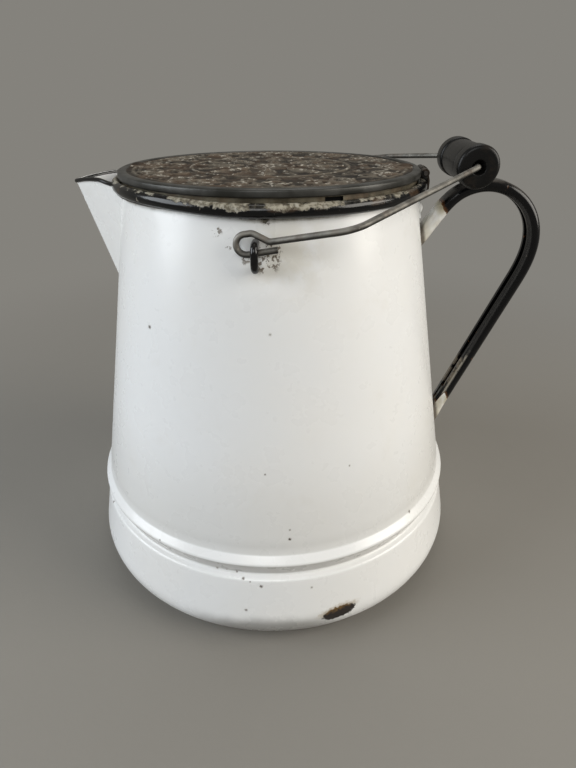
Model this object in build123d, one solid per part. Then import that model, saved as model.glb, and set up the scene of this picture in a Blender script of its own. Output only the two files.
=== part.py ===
"""Enamelled hot water can: tapered body, spout, strap handle, bail with a turned grip, hinged cast lid."""
import os
from math import atan2, cos, degrees, hypot, radians, sin, sqrt

from build123d import *

os.makedirs("parts", exist_ok=True)

# ---- clearances -------------------------------------------------------------------------------
running_gap = 0.08          # pin in a bore that turns, on the radius
rest_gap = 0.3              # between curved pieces that only rest on one another
joint_gap = 0.5             # beside knuckles and round the bail's eye
seam_gap = 0.05             # between sheet pieces that are pressed together

# ---- can --------------------------------------------------------------------------------------
sheet = 1.2                 # enamelled sheet
rim_radius = 103.0          # outside of the wired rim
rim_height = 281.7          # middle of the wired rim above the table
roll_radius = 3.8           # outside of the rolled edge, in section
roll_sweep = 290.0          # how far the edge curls round its wire, degrees
bead_height = 71.0          # crest of the pressed bead
bead_radius = 136.4         # wall radius at the bead, before the bead stands out
bead_stand = 2.2            # corner of the bead beyond the wall
bead_rise = 8.0             # from the bead's crest up to the plain wall
bead_inset = 2.5            # wall's lower edge inside the line of the wall
bead_round = 5.0
seam_drop = 8.4             # from the bead's crest down to the groove under it, where the wall ends
lip_rise = 6.0              # from the bead's crest up to the edge of the bottom pan, inside the wall
groove_round = 2.0
shoulder_drop = 6.0         # from the groove down to the pan's shoulder
shoulder_stand = 5.8        # from the groove out to the pan's shoulder
shoulder_round = 7.0
foot_radius = 150.8         # where the pan's side would meet the table, before rounding
foot_round = 24.0           # rounding under the pan

# ---- spout ------------------------------------------------------------------------------------
spout_reach = 134.0         # tip from the can's axis
spout_tip_rise = 1.5        # tip above the middle of the rim
spout_lip_rise = 5.1        # lip above it, where the two meet
spout_half_width = 37.0     # at the lip, where the sides meet the can
spout_foot_drop = 76.7      # from the middle of the rim down to where the keel meets the wall
spout_nose_round = 3.4
spout_root_depth = 8.0      # how far the section runs into the can before it is trimmed
spout_dip_length = 13.0     # part of the lip that dips towards the tip
spout_pocket_rise = 14.0    # solid keel below the pocket
hem_stand = 0.8             # folded lip beyond the sheet
hem_height = 2.6
strainer_hole_radius = 1.8
strainer_pitch = 10.5
strainer_rows = 4
strainer_drop = 19.7        # from the middle of the rim down to the first row
strainer_reach = 20.0       # drill's run outside the wall

# ---- strap handle -----------------------------------------------------------------------------
strap_width_top = 18.0
strap_width_bottom = 17.5
strap_depth = 7.8
strap_sheet = 1.3
strap_slot_share = 0.32     # open part of the curled strap's inner side
strap_lift = 51.5           # slope of the strap where it leaves the wall, degrees
strap_root_drop = 35.2      # from the middle of the rim down to the upper root
strap_root_bottom_height = 105.7
strap_curve = [(8.6, 12.6), (21.8, 28.5), (41.7, 34.5), (62.4, 26.7), (74.1, 10.2), (76.4, -6.5)]  # from the upper root
strap_straight_top = (70.3, -30.2)
foot_length = 10.0          # solid end of the strap where it is riveted on
rivet_radius = 2.2
rivet_head_radius = 4.2
rivet_head_height = 1.5

# ---- ears and bail ----------------------------------------------------------------------------
pivot_drop = 16.1           # from the middle of the rim down to the ears' upper legs, on which the bail turns
ear_wire_radius = 2.1
ear_leg_gap = 0.7           # between the bail's eye and the ear's lower leg
bail_wire_radius = 1.75
eye_reach_back = 10.4       # outside of the eye behind its pivot
eye_half_height = 5.3       # wire centre above the pivot
eye_low = 5.9               # wire's lower corner below it
eye_tip_reach = 11.5        # cut end of the hooked wire
eye_tip_low = 3.9
arm_shoulder = 51.5         # from the pivot to where the arm turns inward
arm_spread = 122.0          # half the width across the bail there
arm_bend = 14.0             # radius of that turn
eye_throat_reach = 0.5      # where the wire leaves the eye
eye_neck_reach = 8.5        # where it has come back to the arm's plane
eye_neck_stand = 2.5
eye_bend = 5.0
grip_length = 67.0
grip_radius = 12.7
grip_waist_radius = 11.8
grip_groove_radius = 10.7
grip_collar = 13.0          # length of each end roll
grip_groove = 3.0
grip_mouth_radius = 4.5     # countersunk mouth of the grip's bore
grip_mouth_depth = 7.0
grip_rest_share = 0.355     # where along the handle's curve the grip comes to rest
grip_edge_round = 2.0
bail_end_bend = 6.5
bail_end_inset = 1.2        # wire's corner inside the grip's end

# ---- lid --------------------------------------------------------------------------------------
lid_inset = 4.5             # edge of the lid inside the rim's outside
lid_thickness = 4.4
lid_lift = 2.2              # underside of the plate above the rim
border_width = 7.5
field_drop = 0.9            # field below the smooth border
field_ring_radius = 52.0
field_ring_width = 3.0
boss_radius = 12.0
boss_stand = 1.6
leaf_count = 8
leaf_stand = 0.7
collar_inset = 2.0          # band that rests on the rim, inside the lid's edge
collar_skirt_gap = 1.4      # between the mouth and the skirt that drops into it
collar_depth = 12.0
collar_flange = 10.5
notch_width = 10.6
notch_rise = 2.5
notch_angle = -65.0         # steam notch, round from the handle
lid_rivet_inset = 9.0       # rivets inside the lid's edge
lid_rivet_radius = 2.0
lid_rivet_pad = 6.0
lid_rivet_head_radius = 5.0
lid_rivet_head_height = 1.6
lid_rivet_peen_radius = 3.4
lid_rivet_peen_height = 1.0
leaf_length = 26.0
leaf_breadth = 9.0
hinge_width = 24.0
knuckle_radius = 3.0
hinge_pin_radius = 1.4
hinge_pin_inset = 2.4       # pin axis inward of the rim's outside
hinge_pin_rise = 3.7        # pin axis above the top of the rim
hinge_sheet = 1.1
hinge_leaf_drop = 6.7       # from the middle of the rim down to where the leaf leaves the wall
hinge_leaf_length = 14.0
hinge_pass_rise = 2.8       # top of its straight run past the rim, above the rim's middle
hinge_rivet_share = 0.6     # how far down the leaf its rivets are
hinge_pin_overhang = 1.0
hinge_rivet_radius = 1.6
hinge_rivet_head_radius = 3.0
hinge_rivet_head_height = 1.2

# ---- derived ----------------------------------------------------------------------------------
roll_centre = rim_radius - roll_radius
neck_inner = roll_centre - roll_radius
neck_outer = neck_inner + sheet
taper = (bead_radius - neck_outer) / (rim_height - bead_height)
rim_top = rim_height + roll_radius
seam_height = bead_height - seam_drop
lip_height = bead_height + lip_rise
spout_tip_height = rim_height + spout_tip_rise
spout_lip_height = rim_height + spout_lip_rise
spout_foot_height = rim_height - spout_foot_drop
strap_root_top_height = rim_height - strap_root_drop
pivot_height = rim_height - pivot_drop
ear_leg_spacing = eye_reach_back + ear_leg_gap + ear_wire_radius
lid_radius = rim_radius - lid_inset
lid_rivet_circle = lid_radius - lid_rivet_inset
collar_radius = lid_radius - collar_inset
collar_skirt_radius = neck_inner - collar_skirt_gap
band_bottom = rim_height + sqrt(roll_radius**2 - (roll_centre - collar_radius) ** 2) + rest_gap
hinge_leaf_top = rim_height - hinge_leaf_drop
pin_x = rim_radius - hinge_pin_inset
pin_z = rim_top + hinge_pin_rise
plate_bottom = rim_top + lid_lift
plate_top = plate_bottom + lid_thickness


def wall_outer(height):
    return neck_outer + taper * (rim_height - height)


def wall_inner(height):
    return wall_outer(height) - sheet


def bent_sheet(line, thickness):
    """Even sheet to the right of an open line in the XZ plane."""
    beside = offset(Wire(line.edges()), thickness, side=Side.RIGHT, kind=Kind.INTERSECTION)
    return make_face(Plane.XZ * beside)


def wall_cone(low, high, reduce=0.0):
    """Everything within the wall's outer face, less a little."""
    outline = [(0, low), (wall_outer(low) - reduce, low), (wall_outer(high) - reduce, high), (0, high)]
    return revolve(make_face(Plane.XZ * Polyline(*outline, close=True)), Axis.Z)


def rod(start, end, radius):
    """Round bar between two points."""
    start = Vector(*start)
    end = Vector(*end)
    along = end - start
    return Plane(start, z_dir=along) * Cylinder(radius, along.length, align=(Align.CENTER, Align.CENTER, Align.MIN))


def round_wire(path, radius):
    return sweep(Plane(path @ 0, z_dir=path % 0) * Circle(radius), path=path)


eye_offset = wall_outer(pivot_height - eye_reach_back) + joint_gap + bail_wire_radius
ear_bar_offset = eye_offset + bail_wire_radius + joint_gap + ear_wire_radius


# ---- can --------------------------------------------------------------------------------------
def strainer_places():
    """Rows that narrow downwards, behind the spout."""
    for row in range(strainer_rows):
        count = strainer_rows - row
        for place in range(count):
            side = (place - (count - 1) / 2) * strainer_pitch
            yield side, rim_height - strainer_drop - row * strainer_pitch * sin(radians(60))


def ear_leg_heights():
    return pivot_height, pivot_height - ear_leg_spacing


def handle_rivet_heights():
    return strap_root_top_height, strap_root_bottom_height


def hinge_rivet_places():
    height = hinge_leaf_top - hinge_leaf_length * hinge_rivet_share
    return [(-hinge_width / 4, height), (hinge_width / 4, height)]


def make_body_wall():
    groove = (wall_inner(seam_height) - bead_inset, seam_height)
    crest = (wall_inner(bead_height) + bead_stand, bead_height)
    above = (wall_inner(bead_height + bead_rise), bead_height + bead_rise)
    rim_start = (neck_inner, rim_height)
    side = FilletPolyline(groove, crest, above, rim_start, radius=[bead_round, 2 * bead_round])
    curl = CenterArc((roll_centre, rim_height), roll_radius, 180, -roll_sweep)
    wall = revolve(bent_sheet(side + curl, sheet), Axis.Z)
    for across, height in strainer_places():
        wall -= rod((-roll_centre - strainer_reach, across, height), (0, across, height), strainer_hole_radius)
    for height in ear_leg_heights():
        far = wall_outer(height) + sheet
        wall -= rod((0, -far, height), (0, far, height), ear_wire_radius + seam_gap)
    for height in handle_rivet_heights():
        wall -= rod((0, 0, height), (wall_outer(height) + sheet, 0, height), rivet_radius + seam_gap)
    for across, height in hinge_rivet_places():
        wall -= rod((0, across, height), (rim_radius, across, height), hinge_rivet_radius + seam_gap)
    return wall


def make_rim_wire():
    return Pos(0, 0, rim_height) * Torus(roll_centre, roll_radius / hypot(1, taper) - sheet - 2 * seam_gap)


def make_bottom_pan():
    lip = wall_inner(lip_height) - seam_gap
    groove = seam_height - sheet / 2
    side = FilletPolyline(
        (lip, lip_height),
        (lip, groove),
        (lip + shoulder_stand, groove - shoulder_drop),
        (foot_radius, 0),
        (0, 0),
        radius=[groove_round, shoulder_round, foot_round],
    )
    return revolve(bent_sheet(side, sheet), Axis.Z)


# ---- spout ------------------------------------------------------------------------------------
def spout_section(height, grow):
    """Rounded V across the spout, from its nose to where its sides meet the wall."""
    share = (height - spout_foot_height) / (spout_tip_height - spout_foot_height)
    foot_reach = wall_outer(spout_foot_height)
    half = spout_half_width * share
    nose = foot_reach + (spout_reach - foot_reach) * share
    root = sqrt(wall_outer(height) ** 2 - half**2)
    slant = atan2(half, nose - root)
    nose_round = max(spout_nose_round * share + grow, sheet / 4)
    nose += spout_nose_round * share * (1 / sin(slant) - 1)
    half += grow / cos(slant)
    nose += grow / sin(slant)
    inside = root - spout_root_depth
    outline = [(-nose, 0), (-root, half), (-inside, half), (-inside, -half), (-root, -half)]
    face = make_face(Plane.XY.offset(height) * Polyline(*outline, close=True))
    corner = face.vertices().sort_by(Axis.X)[0]
    return fillet(corner, nose_round)


def spout_body(grow):
    low = spout_foot_height + (spout_pocket_rise if grow < 0 else 0) + sheet
    return loft([spout_section(low, grow), spout_section(spout_lip_height + hem_height, grow)], ruled=True)


def lip_slab(depth):
    """Space within a depth of the spout's dipping lip, or all below it."""
    dip = (spout_tip_height - spout_lip_height) / spout_dip_length
    lip = FilletPolyline(
        (-spout_reach - spout_dip_length, spout_tip_height + dip * spout_dip_length),
        (-spout_reach + spout_dip_length, spout_lip_height),
        (-neck_inner + spout_reach / 4, spout_lip_height),
        radius=4 * spout_dip_length,
    )
    low = Line(lip @ 1, lip @ 1 - Vector(0, depth))
    floor = Line(low @ 1, lip @ 0 - Vector(0, depth))
    back = Line(floor @ 1, lip @ 0)
    return extrude(Plane.XZ * make_face([lip, low, floor, back]), 2 * spout_half_width, both=True)


def make_spout():
    pocket = spout_body(-sheet)
    trough = spout_body(0) - pocket
    hem = (spout_body(hem_stand) - pocket) & lip_slab(hem_height)
    spout = (trough & lip_slab(spout_lip_height - spout_foot_height)) + hem
    spout -= wall_cone(seam_height, rim_height, -seam_gap)
    spout -= Pos(0, 0, rim_height) * Torus(roll_centre, roll_radius + seam_gap)
    spout -= Pos(0, 0, rim_height) * Cylinder(roll_centre, 4 * roll_radius)
    return spout


# ---- strap handle -----------------------------------------------------------------------------
def strap_path():
    """From inside the wall under the rim, over the crest and down to the wall again."""
    upper = Vector(wall_outer(strap_root_top_height), strap_root_top_height)
    lower = Vector(wall_outer(strap_root_bottom_height), strap_root_bottom_height)
    lift = Vector(cos(radians(strap_lift)), sin(radians(strap_lift)))
    points = [upper + Vector(*offset) for offset in strap_curve]
    straight = upper + Vector(*strap_straight_top)
    fall = (lower - straight).normalized()
    crest = Spline(upper - lift * strap_depth, *points, straight, tangents=[lift, fall])
    return Plane.XZ * (crest + Line(straight, lower + fall * strap_depth))


def strap_outline(width, reduce=0.0):
    return RectangleRounded(width - 2 * reduce, strap_depth - 2 * reduce, strap_depth / 2 - reduce - seam_gap)


def strap_core(width):
    return strap_outline(width, strap_sheet)


def strap_slot(width):
    return Pos(0, -strap_depth / 2) * Rectangle(width * strap_slot_share, strap_depth)


def swept_strap(section):
    """Strap of the given cross-section, wider at its lower end."""
    path = Wire(strap_path().edges())
    start = Plane(path @ 0, x_dir=(0, 1, 0), z_dir=path % 0)
    end = Plane(path @ 1, x_dir=(0, 1, 0), z_dir=path % 1)
    return sweep([start * section(strap_width_top), end * section(strap_width_bottom)], path=path, multisection=True)


def make_handle_strap():
    solid = swept_strap(strap_outline)
    strap = solid - swept_strap(strap_core) - swept_strap(strap_slot)
    strap += solid & wall_cone(bead_height, rim_height, -foot_length)
    strap -= wall_cone(seam_height, rim_top, -seam_gap)
    for height in handle_rivet_heights():
        reach = wall_outer(height) + foot_length / 2 + seam_gap
        strap -= rod((0, 0, height), (reach, 0, height), rivet_radius + seam_gap)
    return strap


def inside_head(centre, direction, radius, height):
    """Flat head against the inside of the wall, trimmed to its slope."""
    start = Vector(*centre) - Vector(*direction) * height
    head = rod(start, Vector(*centre) + Vector(*direction) * sheet, radius)
    return head & wall_cone(seam_height, rim_height, sheet + seam_gap)


def make_handle_rivets():
    rivets = Part()
    for height in handle_rivet_heights():
        inner_end = (wall_inner(height) - rivet_head_height, 0, height)
        outer_end = (wall_outer(height) + foot_length / 2, 0, height)
        head = inside_head((wall_inner(height), 0, height), (1, 0, 0), rivet_head_radius, rivet_head_height)
        rivets += rod(inner_end, outer_end, rivet_radius) + head
    return rivets


# ---- ears and bail ----------------------------------------------------------------------------
def make_ear(side):
    """Staple through the wall, its ends clinched inside."""
    top, bottom = ear_leg_heights()
    out = side * ear_bar_offset
    top_end = (0, side * (wall_inner(top) - rivet_head_height), top)
    bottom_end = (0, side * (wall_inner(bottom) - rivet_head_height), bottom)
    ear = round_wire(
        FilletPolyline(top_end, (0, out, top), (0, out, bottom), bottom_end, radius=2 * ear_wire_radius),
        ear_wire_radius,
    )
    for height in ear_leg_heights():
        centre = (0, side * wall_inner(height), height)
        ear += inside_head(centre, (0, side, 0), rivet_head_radius, rivet_head_height)
    return ear


def grip_rest():
    """Middle of the grip when it lies on the handle."""
    crest = strap_path().edges()[0]
    along = crest % grip_rest_share
    outward = Vector(-along.Z, 0, along.X)
    return crest @ grip_rest_share + outward * (strap_depth / 2 + rest_gap + grip_radius)


def bail_location():
    """Bail's own frame: origin on the pivot, X towards the grip."""
    grip = grip_rest()
    return Location((0, 0, pivot_height), (0, -degrees(atan2(grip.Z - pivot_height, grip.X)), 0))


def bail_reach():
    grip = grip_rest()
    return hypot(grip.X, grip.Z - pivot_height)


def bail_half_points():
    """One end of the bail, from the cut tip of its eye to the corner inside the grip."""
    back = -eye_reach_back + bail_wire_radius
    return [
        (eye_tip_reach, -eye_offset, -eye_tip_low),
        (back, -eye_offset, -eye_low),
        (back, -eye_offset, eye_half_height),
        (eye_throat_reach, -eye_offset, eye_half_height),
        (eye_neck_reach, -eye_offset - eye_neck_stand, 0),
        (arm_shoulder, -arm_spread, 0),
        (bail_reach(), -grip_length / 2 + bail_end_inset, 0),
    ]


def make_bail_wire():
    near = bail_half_points()
    far = [(x, -y, z) for x, y, z in reversed(near)]
    eye_round = eye_half_height - seam_gap
    bends = [eye_round, eye_round, eye_bend, eye_bend, arm_bend, bail_end_bend]
    path = FilletPolyline(*near, *far, radius=bends + bends[::-1])
    return bail_location() * round_wire(path, bail_wire_radius)


def make_bail_grip():
    """Turned wood with a roll at each end, bored for the wire."""
    half = grip_length / 2
    bore = bail_wire_radius + running_gap
    roll_end = half - grip_collar
    near = [
        (bore, half - grip_mouth_depth),
        (grip_mouth_radius, half),
        (grip_radius, half),
        (grip_radius, roll_end),
        (grip_groove_radius, roll_end),
        (grip_groove_radius, roll_end - grip_groove),
        (grip_waist_radius, roll_end - grip_groove),
    ]
    far = [(x, -y) for x, y in reversed(near)]
    face = make_face(Polyline(*near, *far, close=True))
    corners = [corner for corner in face.vertices() if corner.X > grip_radius - seam_gap]
    grip = revolve(fillet(corners, grip_edge_round), Axis.Y)
    return bail_location() * (Pos(bail_reach(), 0, 0) * grip)


# ---- lid --------------------------------------------------------------------------------------
def upright(radius, low, high, x=0.0, y=0.0):
    return Pos(x, y, low) * Cylinder(radius, high - low, align=(Align.CENTER, Align.CENTER, Align.MIN))


def lid_rivet_places():
    return [(-lid_rivet_circle, 0), (lid_rivet_circle, 0)]


def lid_relief(field):
    """Low cast ornament standing on the lid's field."""
    ring_inner = field_ring_radius - field_ring_width
    relief = upright(boss_radius, field, field + boss_stand)
    relief += upright(field_ring_radius, field, plate_top) - upright(ring_inner, field, plate_top)
    leaf_centre = (boss_radius + ring_inner) / 2
    for place in PolarLocations(leaf_centre, leaf_count):
        leaf = extrude(Ellipse(leaf_length / 2, leaf_breadth / 2), leaf_stand)
        relief += Pos(0, 0, field) * (place * leaf)
    return relief


def make_lid_plate():
    field = plate_top - field_drop
    plate = upright(lid_radius, plate_bottom, plate_top) - upright(lid_radius - border_width, field, plate_top)
    plate += lid_relief(field)
    for x, y in lid_rivet_places():
        plate += upright(lid_rivet_pad, field, plate_top, x, y)
        plate -= upright(lid_rivet_radius + seam_gap, plate_bottom, plate_top, x, y)
    notch_edge = pin_x - knuckle_radius - joint_gap
    notch_size = (lid_radius, hinge_width + 2 * joint_gap, 2 * lid_thickness)
    plate -= Pos(notch_edge, 0, plate_top) * Box(*notch_size, align=(Align.MIN, Align.CENTER, Align.CENTER))
    knuckle_width = hinge_width / 3 - 2 * joint_gap
    neck_size = (pin_x - notch_edge, knuckle_width, knuckle_radius)
    neck = Pos(notch_edge, 0, plate_bottom) * Box(*neck_size, align=(Align.MIN, Align.CENTER, Align.MIN))
    plate += neck + rod((pin_x, -knuckle_width / 2, pin_z), (pin_x, knuckle_width / 2, pin_z), knuckle_radius)
    bore = hinge_pin_radius + running_gap
    return plate - rod((pin_x, -hinge_width, pin_z), (pin_x, hinge_width, pin_z), bore)


def make_lid_collar():
    """Bent ring under the lid: flange, band over the rim, skirt inside the mouth."""
    path = Polyline(
        (collar_radius - collar_flange, plate_bottom),
        (collar_radius, plate_bottom),
        (collar_radius, band_bottom),
        (collar_skirt_radius, band_bottom),
        (collar_skirt_radius, band_bottom - collar_depth),
    )
    collar = revolve(bent_sheet(path, sheet), Axis.Z)
    notch_size = (2 * sheet, notch_width, notch_rise)
    notch = Pos(collar_radius, 0, band_bottom) * Box(*notch_size, align=(Align.CENTER, Align.CENTER, Align.MIN))
    collar -= Rot(0, 0, notch_angle) * notch
    for x, y in lid_rivet_places():
        collar -= upright(lid_rivet_radius + seam_gap, plate_bottom - 2 * sheet, plate_bottom, x, y)
    return collar


def dome(radius, height):
    """Low round head standing on the XY plane."""
    ball = (radius**2 + height**2) / (2 * height)
    cap = Pos(0, 0, height - ball) * Sphere(ball)
    return cap & Cylinder(radius, height, align=(Align.CENTER, Align.CENTER, Align.MIN))


def make_lid_rivets():
    rivets = Part()
    peen_top = plate_bottom - sheet - seam_gap
    peen_bottom = peen_top - lid_rivet_peen_height
    for x, y in lid_rivet_places():
        head = Pos(x, y, plate_top) * dome(lid_rivet_head_radius, lid_rivet_head_height)
        shank = upright(lid_rivet_radius, peen_bottom, plate_top, x, y)
        rivets += head + shank + upright(lid_rivet_peen_radius, peen_bottom, peen_top, x, y)
    return rivets


# ---- hinge ------------------------------------------------------------------------------------
def hinge_leaf():
    """Leaf that follows the wall and passes the rolled rim."""
    foot = hinge_leaf_top - hinge_leaf_length
    past = rim_radius + rest_gap
    path = Polyline(
        (pin_x + hinge_pin_radius + seam_gap, pin_z),
        (past, rim_height + hinge_pass_rise),
        (past, rim_height - roll_radius),
        (wall_outer(hinge_leaf_top) + seam_gap, hinge_leaf_top),
        (wall_outer(foot) + seam_gap, foot),
    )
    half_turn = degrees(hinge_width / 2 / rim_radius)
    beside = offset(Wire(path.edges()), hinge_sheet, side=Side.LEFT, kind=Kind.INTERSECTION)
    face = make_face(Plane.XZ * beside)
    return Rot(0, 0, -half_turn) * revolve(face, Axis.Z, 2 * half_turn)


def make_hinge_bracket():
    """Sheet rolled round the pin, cut away in the middle for the lid's knuckle."""
    bore = rod((pin_x, -hinge_width, pin_z), (pin_x, hinge_width, pin_z), hinge_pin_radius + seam_gap)
    curl_radius = hinge_pin_radius + seam_gap + hinge_sheet
    curl = rod((pin_x, -hinge_width / 2, pin_z), (pin_x, hinge_width / 2, pin_z), curl_radius)
    middle_size = (4 * knuckle_radius, hinge_width / 3, 4 * knuckle_radius)
    middle_low = pin_z - knuckle_radius - joint_gap
    middle = Pos(pin_x, 0, middle_low) * Box(*middle_size, align=(Align.CENTER, Align.CENTER, Align.MIN))
    bracket = hinge_leaf() + curl - bore - middle
    for across, height in hinge_rivet_places():
        bracket -= rod((0, across, height), (2 * rim_radius, across, height), hinge_rivet_radius + seam_gap)
    return bracket


def make_hinge_rivets():
    rivets = Part()
    under_heads = wall_cone(seam_height, rim_height, -hinge_sheet - 2 * seam_gap)
    for across, height in hinge_rivet_places():
        face = sqrt(wall_outer(height) ** 2 - across**2)
        inside = face - sheet
        seat = (face + hinge_sheet + hinge_rivet_head_radius * taper, across, height)
        head = Location(seat, (0, 90, 0)) * dome(hinge_rivet_head_radius, hinge_rivet_head_height)
        head += rod((face, across, height), seat, hinge_rivet_head_radius)
        shank = rod((inside - rivet_head_height, across, height), seat, hinge_rivet_radius)
        inner_head = inside_head((inside, across, height), (1, 0, 0), hinge_rivet_head_radius, rivet_head_height)
        rivets += head - under_heads + shank + inner_head
    return rivets


def make_hinge_pin():
    half = hinge_width / 2 + hinge_pin_overhang
    return rod((pin_x, -half, pin_z), (pin_x, half, pin_z), hinge_pin_radius)


nodes = {
    "body_wall": make_body_wall(),
    "rim_wire": make_rim_wire(),
    "bottom_pan": make_bottom_pan(),
    "spout": make_spout(),
    "handle_strap": make_handle_strap(),
    "handle_rivets": make_handle_rivets(),
    "ear_front": make_ear(-1),
    "ear_back": make_ear(1),
    "bail_wire": make_bail_wire(),
    "bail_grip": make_bail_grip(),
    "lid_plate": make_lid_plate(),
    "lid_collar": make_lid_collar(),
    "lid_rivets": make_lid_rivets(),
    "hinge_bracket": make_hinge_bracket(),
    "hinge_rivets": make_hinge_rivets(),
    "hinge_pin": make_hinge_pin(),
}

for name, shape in nodes.items():
    export_step(shape, f"parts/{name}.step")
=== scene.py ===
from math import acos, atan2, cos, degrees, hypot, pi, radians, sin, sqrt, tan

import bmesh
import bpy
import numpy as np
from mathutils import Matrix, Vector, noise


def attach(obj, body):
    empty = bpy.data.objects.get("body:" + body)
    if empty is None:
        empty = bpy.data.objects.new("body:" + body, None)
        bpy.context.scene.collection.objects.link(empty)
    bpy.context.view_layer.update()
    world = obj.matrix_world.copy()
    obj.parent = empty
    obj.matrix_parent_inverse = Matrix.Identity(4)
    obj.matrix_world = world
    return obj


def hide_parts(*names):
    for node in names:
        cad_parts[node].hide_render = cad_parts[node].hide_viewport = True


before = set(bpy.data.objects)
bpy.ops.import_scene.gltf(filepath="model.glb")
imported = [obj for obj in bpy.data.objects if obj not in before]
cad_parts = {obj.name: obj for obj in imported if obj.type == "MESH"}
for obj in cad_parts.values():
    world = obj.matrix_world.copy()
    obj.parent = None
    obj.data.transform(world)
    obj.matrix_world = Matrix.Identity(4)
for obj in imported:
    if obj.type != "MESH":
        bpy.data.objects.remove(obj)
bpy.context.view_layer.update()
print("frame loaded:", len(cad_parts), "nodes")

mm = 0.001


# lines and meshes
def roundedLine(points, bends, step=12):
    # corners of an open line become arcs, one point for each step of degrees
    points = [np.array(p, float) for p in points]
    line = [points[0]]
    for before, corner, after, bend in zip(points, points[1:], points[2:], bends):
        into = (corner - before) / np.linalg.norm(corner - before)
        out = (after - corner) / np.linalg.norm(after - corner)
        turn = acos(max(-1, min(1, float(into @ out))))
        if bend <= 0 or turn < 0.01:
            line.append(corner)
            continue
        reach = bend * tan(turn / 2)
        start = corner - into * reach
        middle = (out - into) / np.linalg.norm(out - into)
        centre = corner + middle * bend / cos(turn / 2)
        first = start - centre
        second = corner + out * reach - centre
        count = max(2, round(degrees(turn) / step))
        for i in range(count + 1):
            share = i / count
            line.append(centre + (first * sin((1 - share) * turn) + second * sin(share * turn)) / sin(turn))
    line.append(points[-1])
    return [tuple(p) for p in line]


def arc(centre, radius, start, sweep, count):
    turns = [radians(start + sweep * i / count) for i in range(count + 1)]
    return [(centre[0] + radius * cos(t), centre[1] + radius * sin(t)) for t in turns]


def spread(line, gap):
    # the same line with points no further apart than the gap
    dense = [np.array(line[0], float)]
    for a, b in zip(line, line[1:]):
        a, b = np.array(a, float), np.array(b, float)
        count = max(1, int(np.linalg.norm(b - a) / gap))
        dense += [a + (b - a) * (i + 1) / count for i in range(count)]
    return [tuple(p) for p in dense]


def smoothStep(x):
    x = np.clip(x, 0, 1)
    return x * x * (3 - 2 * x)


def meshPiece(name, vertices, faces=(), edges=()):
    mesh = bpy.data.meshes.new(name)
    mesh.from_pydata([tuple(v) for v in vertices], list(edges), [tuple(f) for f in faces])
    piece = bpy.data.objects.new(name, mesh)
    bpy.context.scene.collection.objects.link(piece)
    return piece


def setAttributes(piece, **values):
    for name, numbers in values.items():
        attribute = piece.data.attributes.new(name, "FLOAT", "POINT")
        attribute.data.foreach_set("value", [float(v) for v in numbers])


def sleeveFaces(sections, count):
    # faces round and between sections of the same number of points, and over both ends
    faces = [
        (i * count + j, i * count + (j + 1) % count, (i + 1) * count + (j + 1) % count, (i + 1) * count + j)
        for i in range(sections - 1) for j in range(count)
    ]
    return faces + [tuple(range(count)), tuple(range((sections - 1) * count, sections * count))]


def tidyMesh(piece, sharpAngle=35, merge=1e-6):
    # doubles merged, faces outwards, soft shading with crisp edges
    work = bmesh.new()
    work.from_mesh(piece.data)
    bmesh.ops.remove_doubles(work, verts=work.verts, dist=merge)
    bmesh.ops.dissolve_degenerate(work, dist=merge, edges=work.edges)
    bmesh.ops.recalc_face_normals(work, faces=work.faces)
    for face in work.faces:
        face.smooth = True
    work.to_mesh(piece.data)
    work.free()
    piece.data.set_sharp_from_angle(angle=radians(sharpAngle))


def cover(piece, look):
    piece.data.materials.clear()
    piece.data.materials.append(finish[look])


def dress(piece, look, body, slot, *nodes):
    cover(piece, look)
    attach(piece, body)
    if nodes:
        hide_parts(*nodes)
    print("piece", piece.name, len(piece.data.polygons), "faces")


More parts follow.
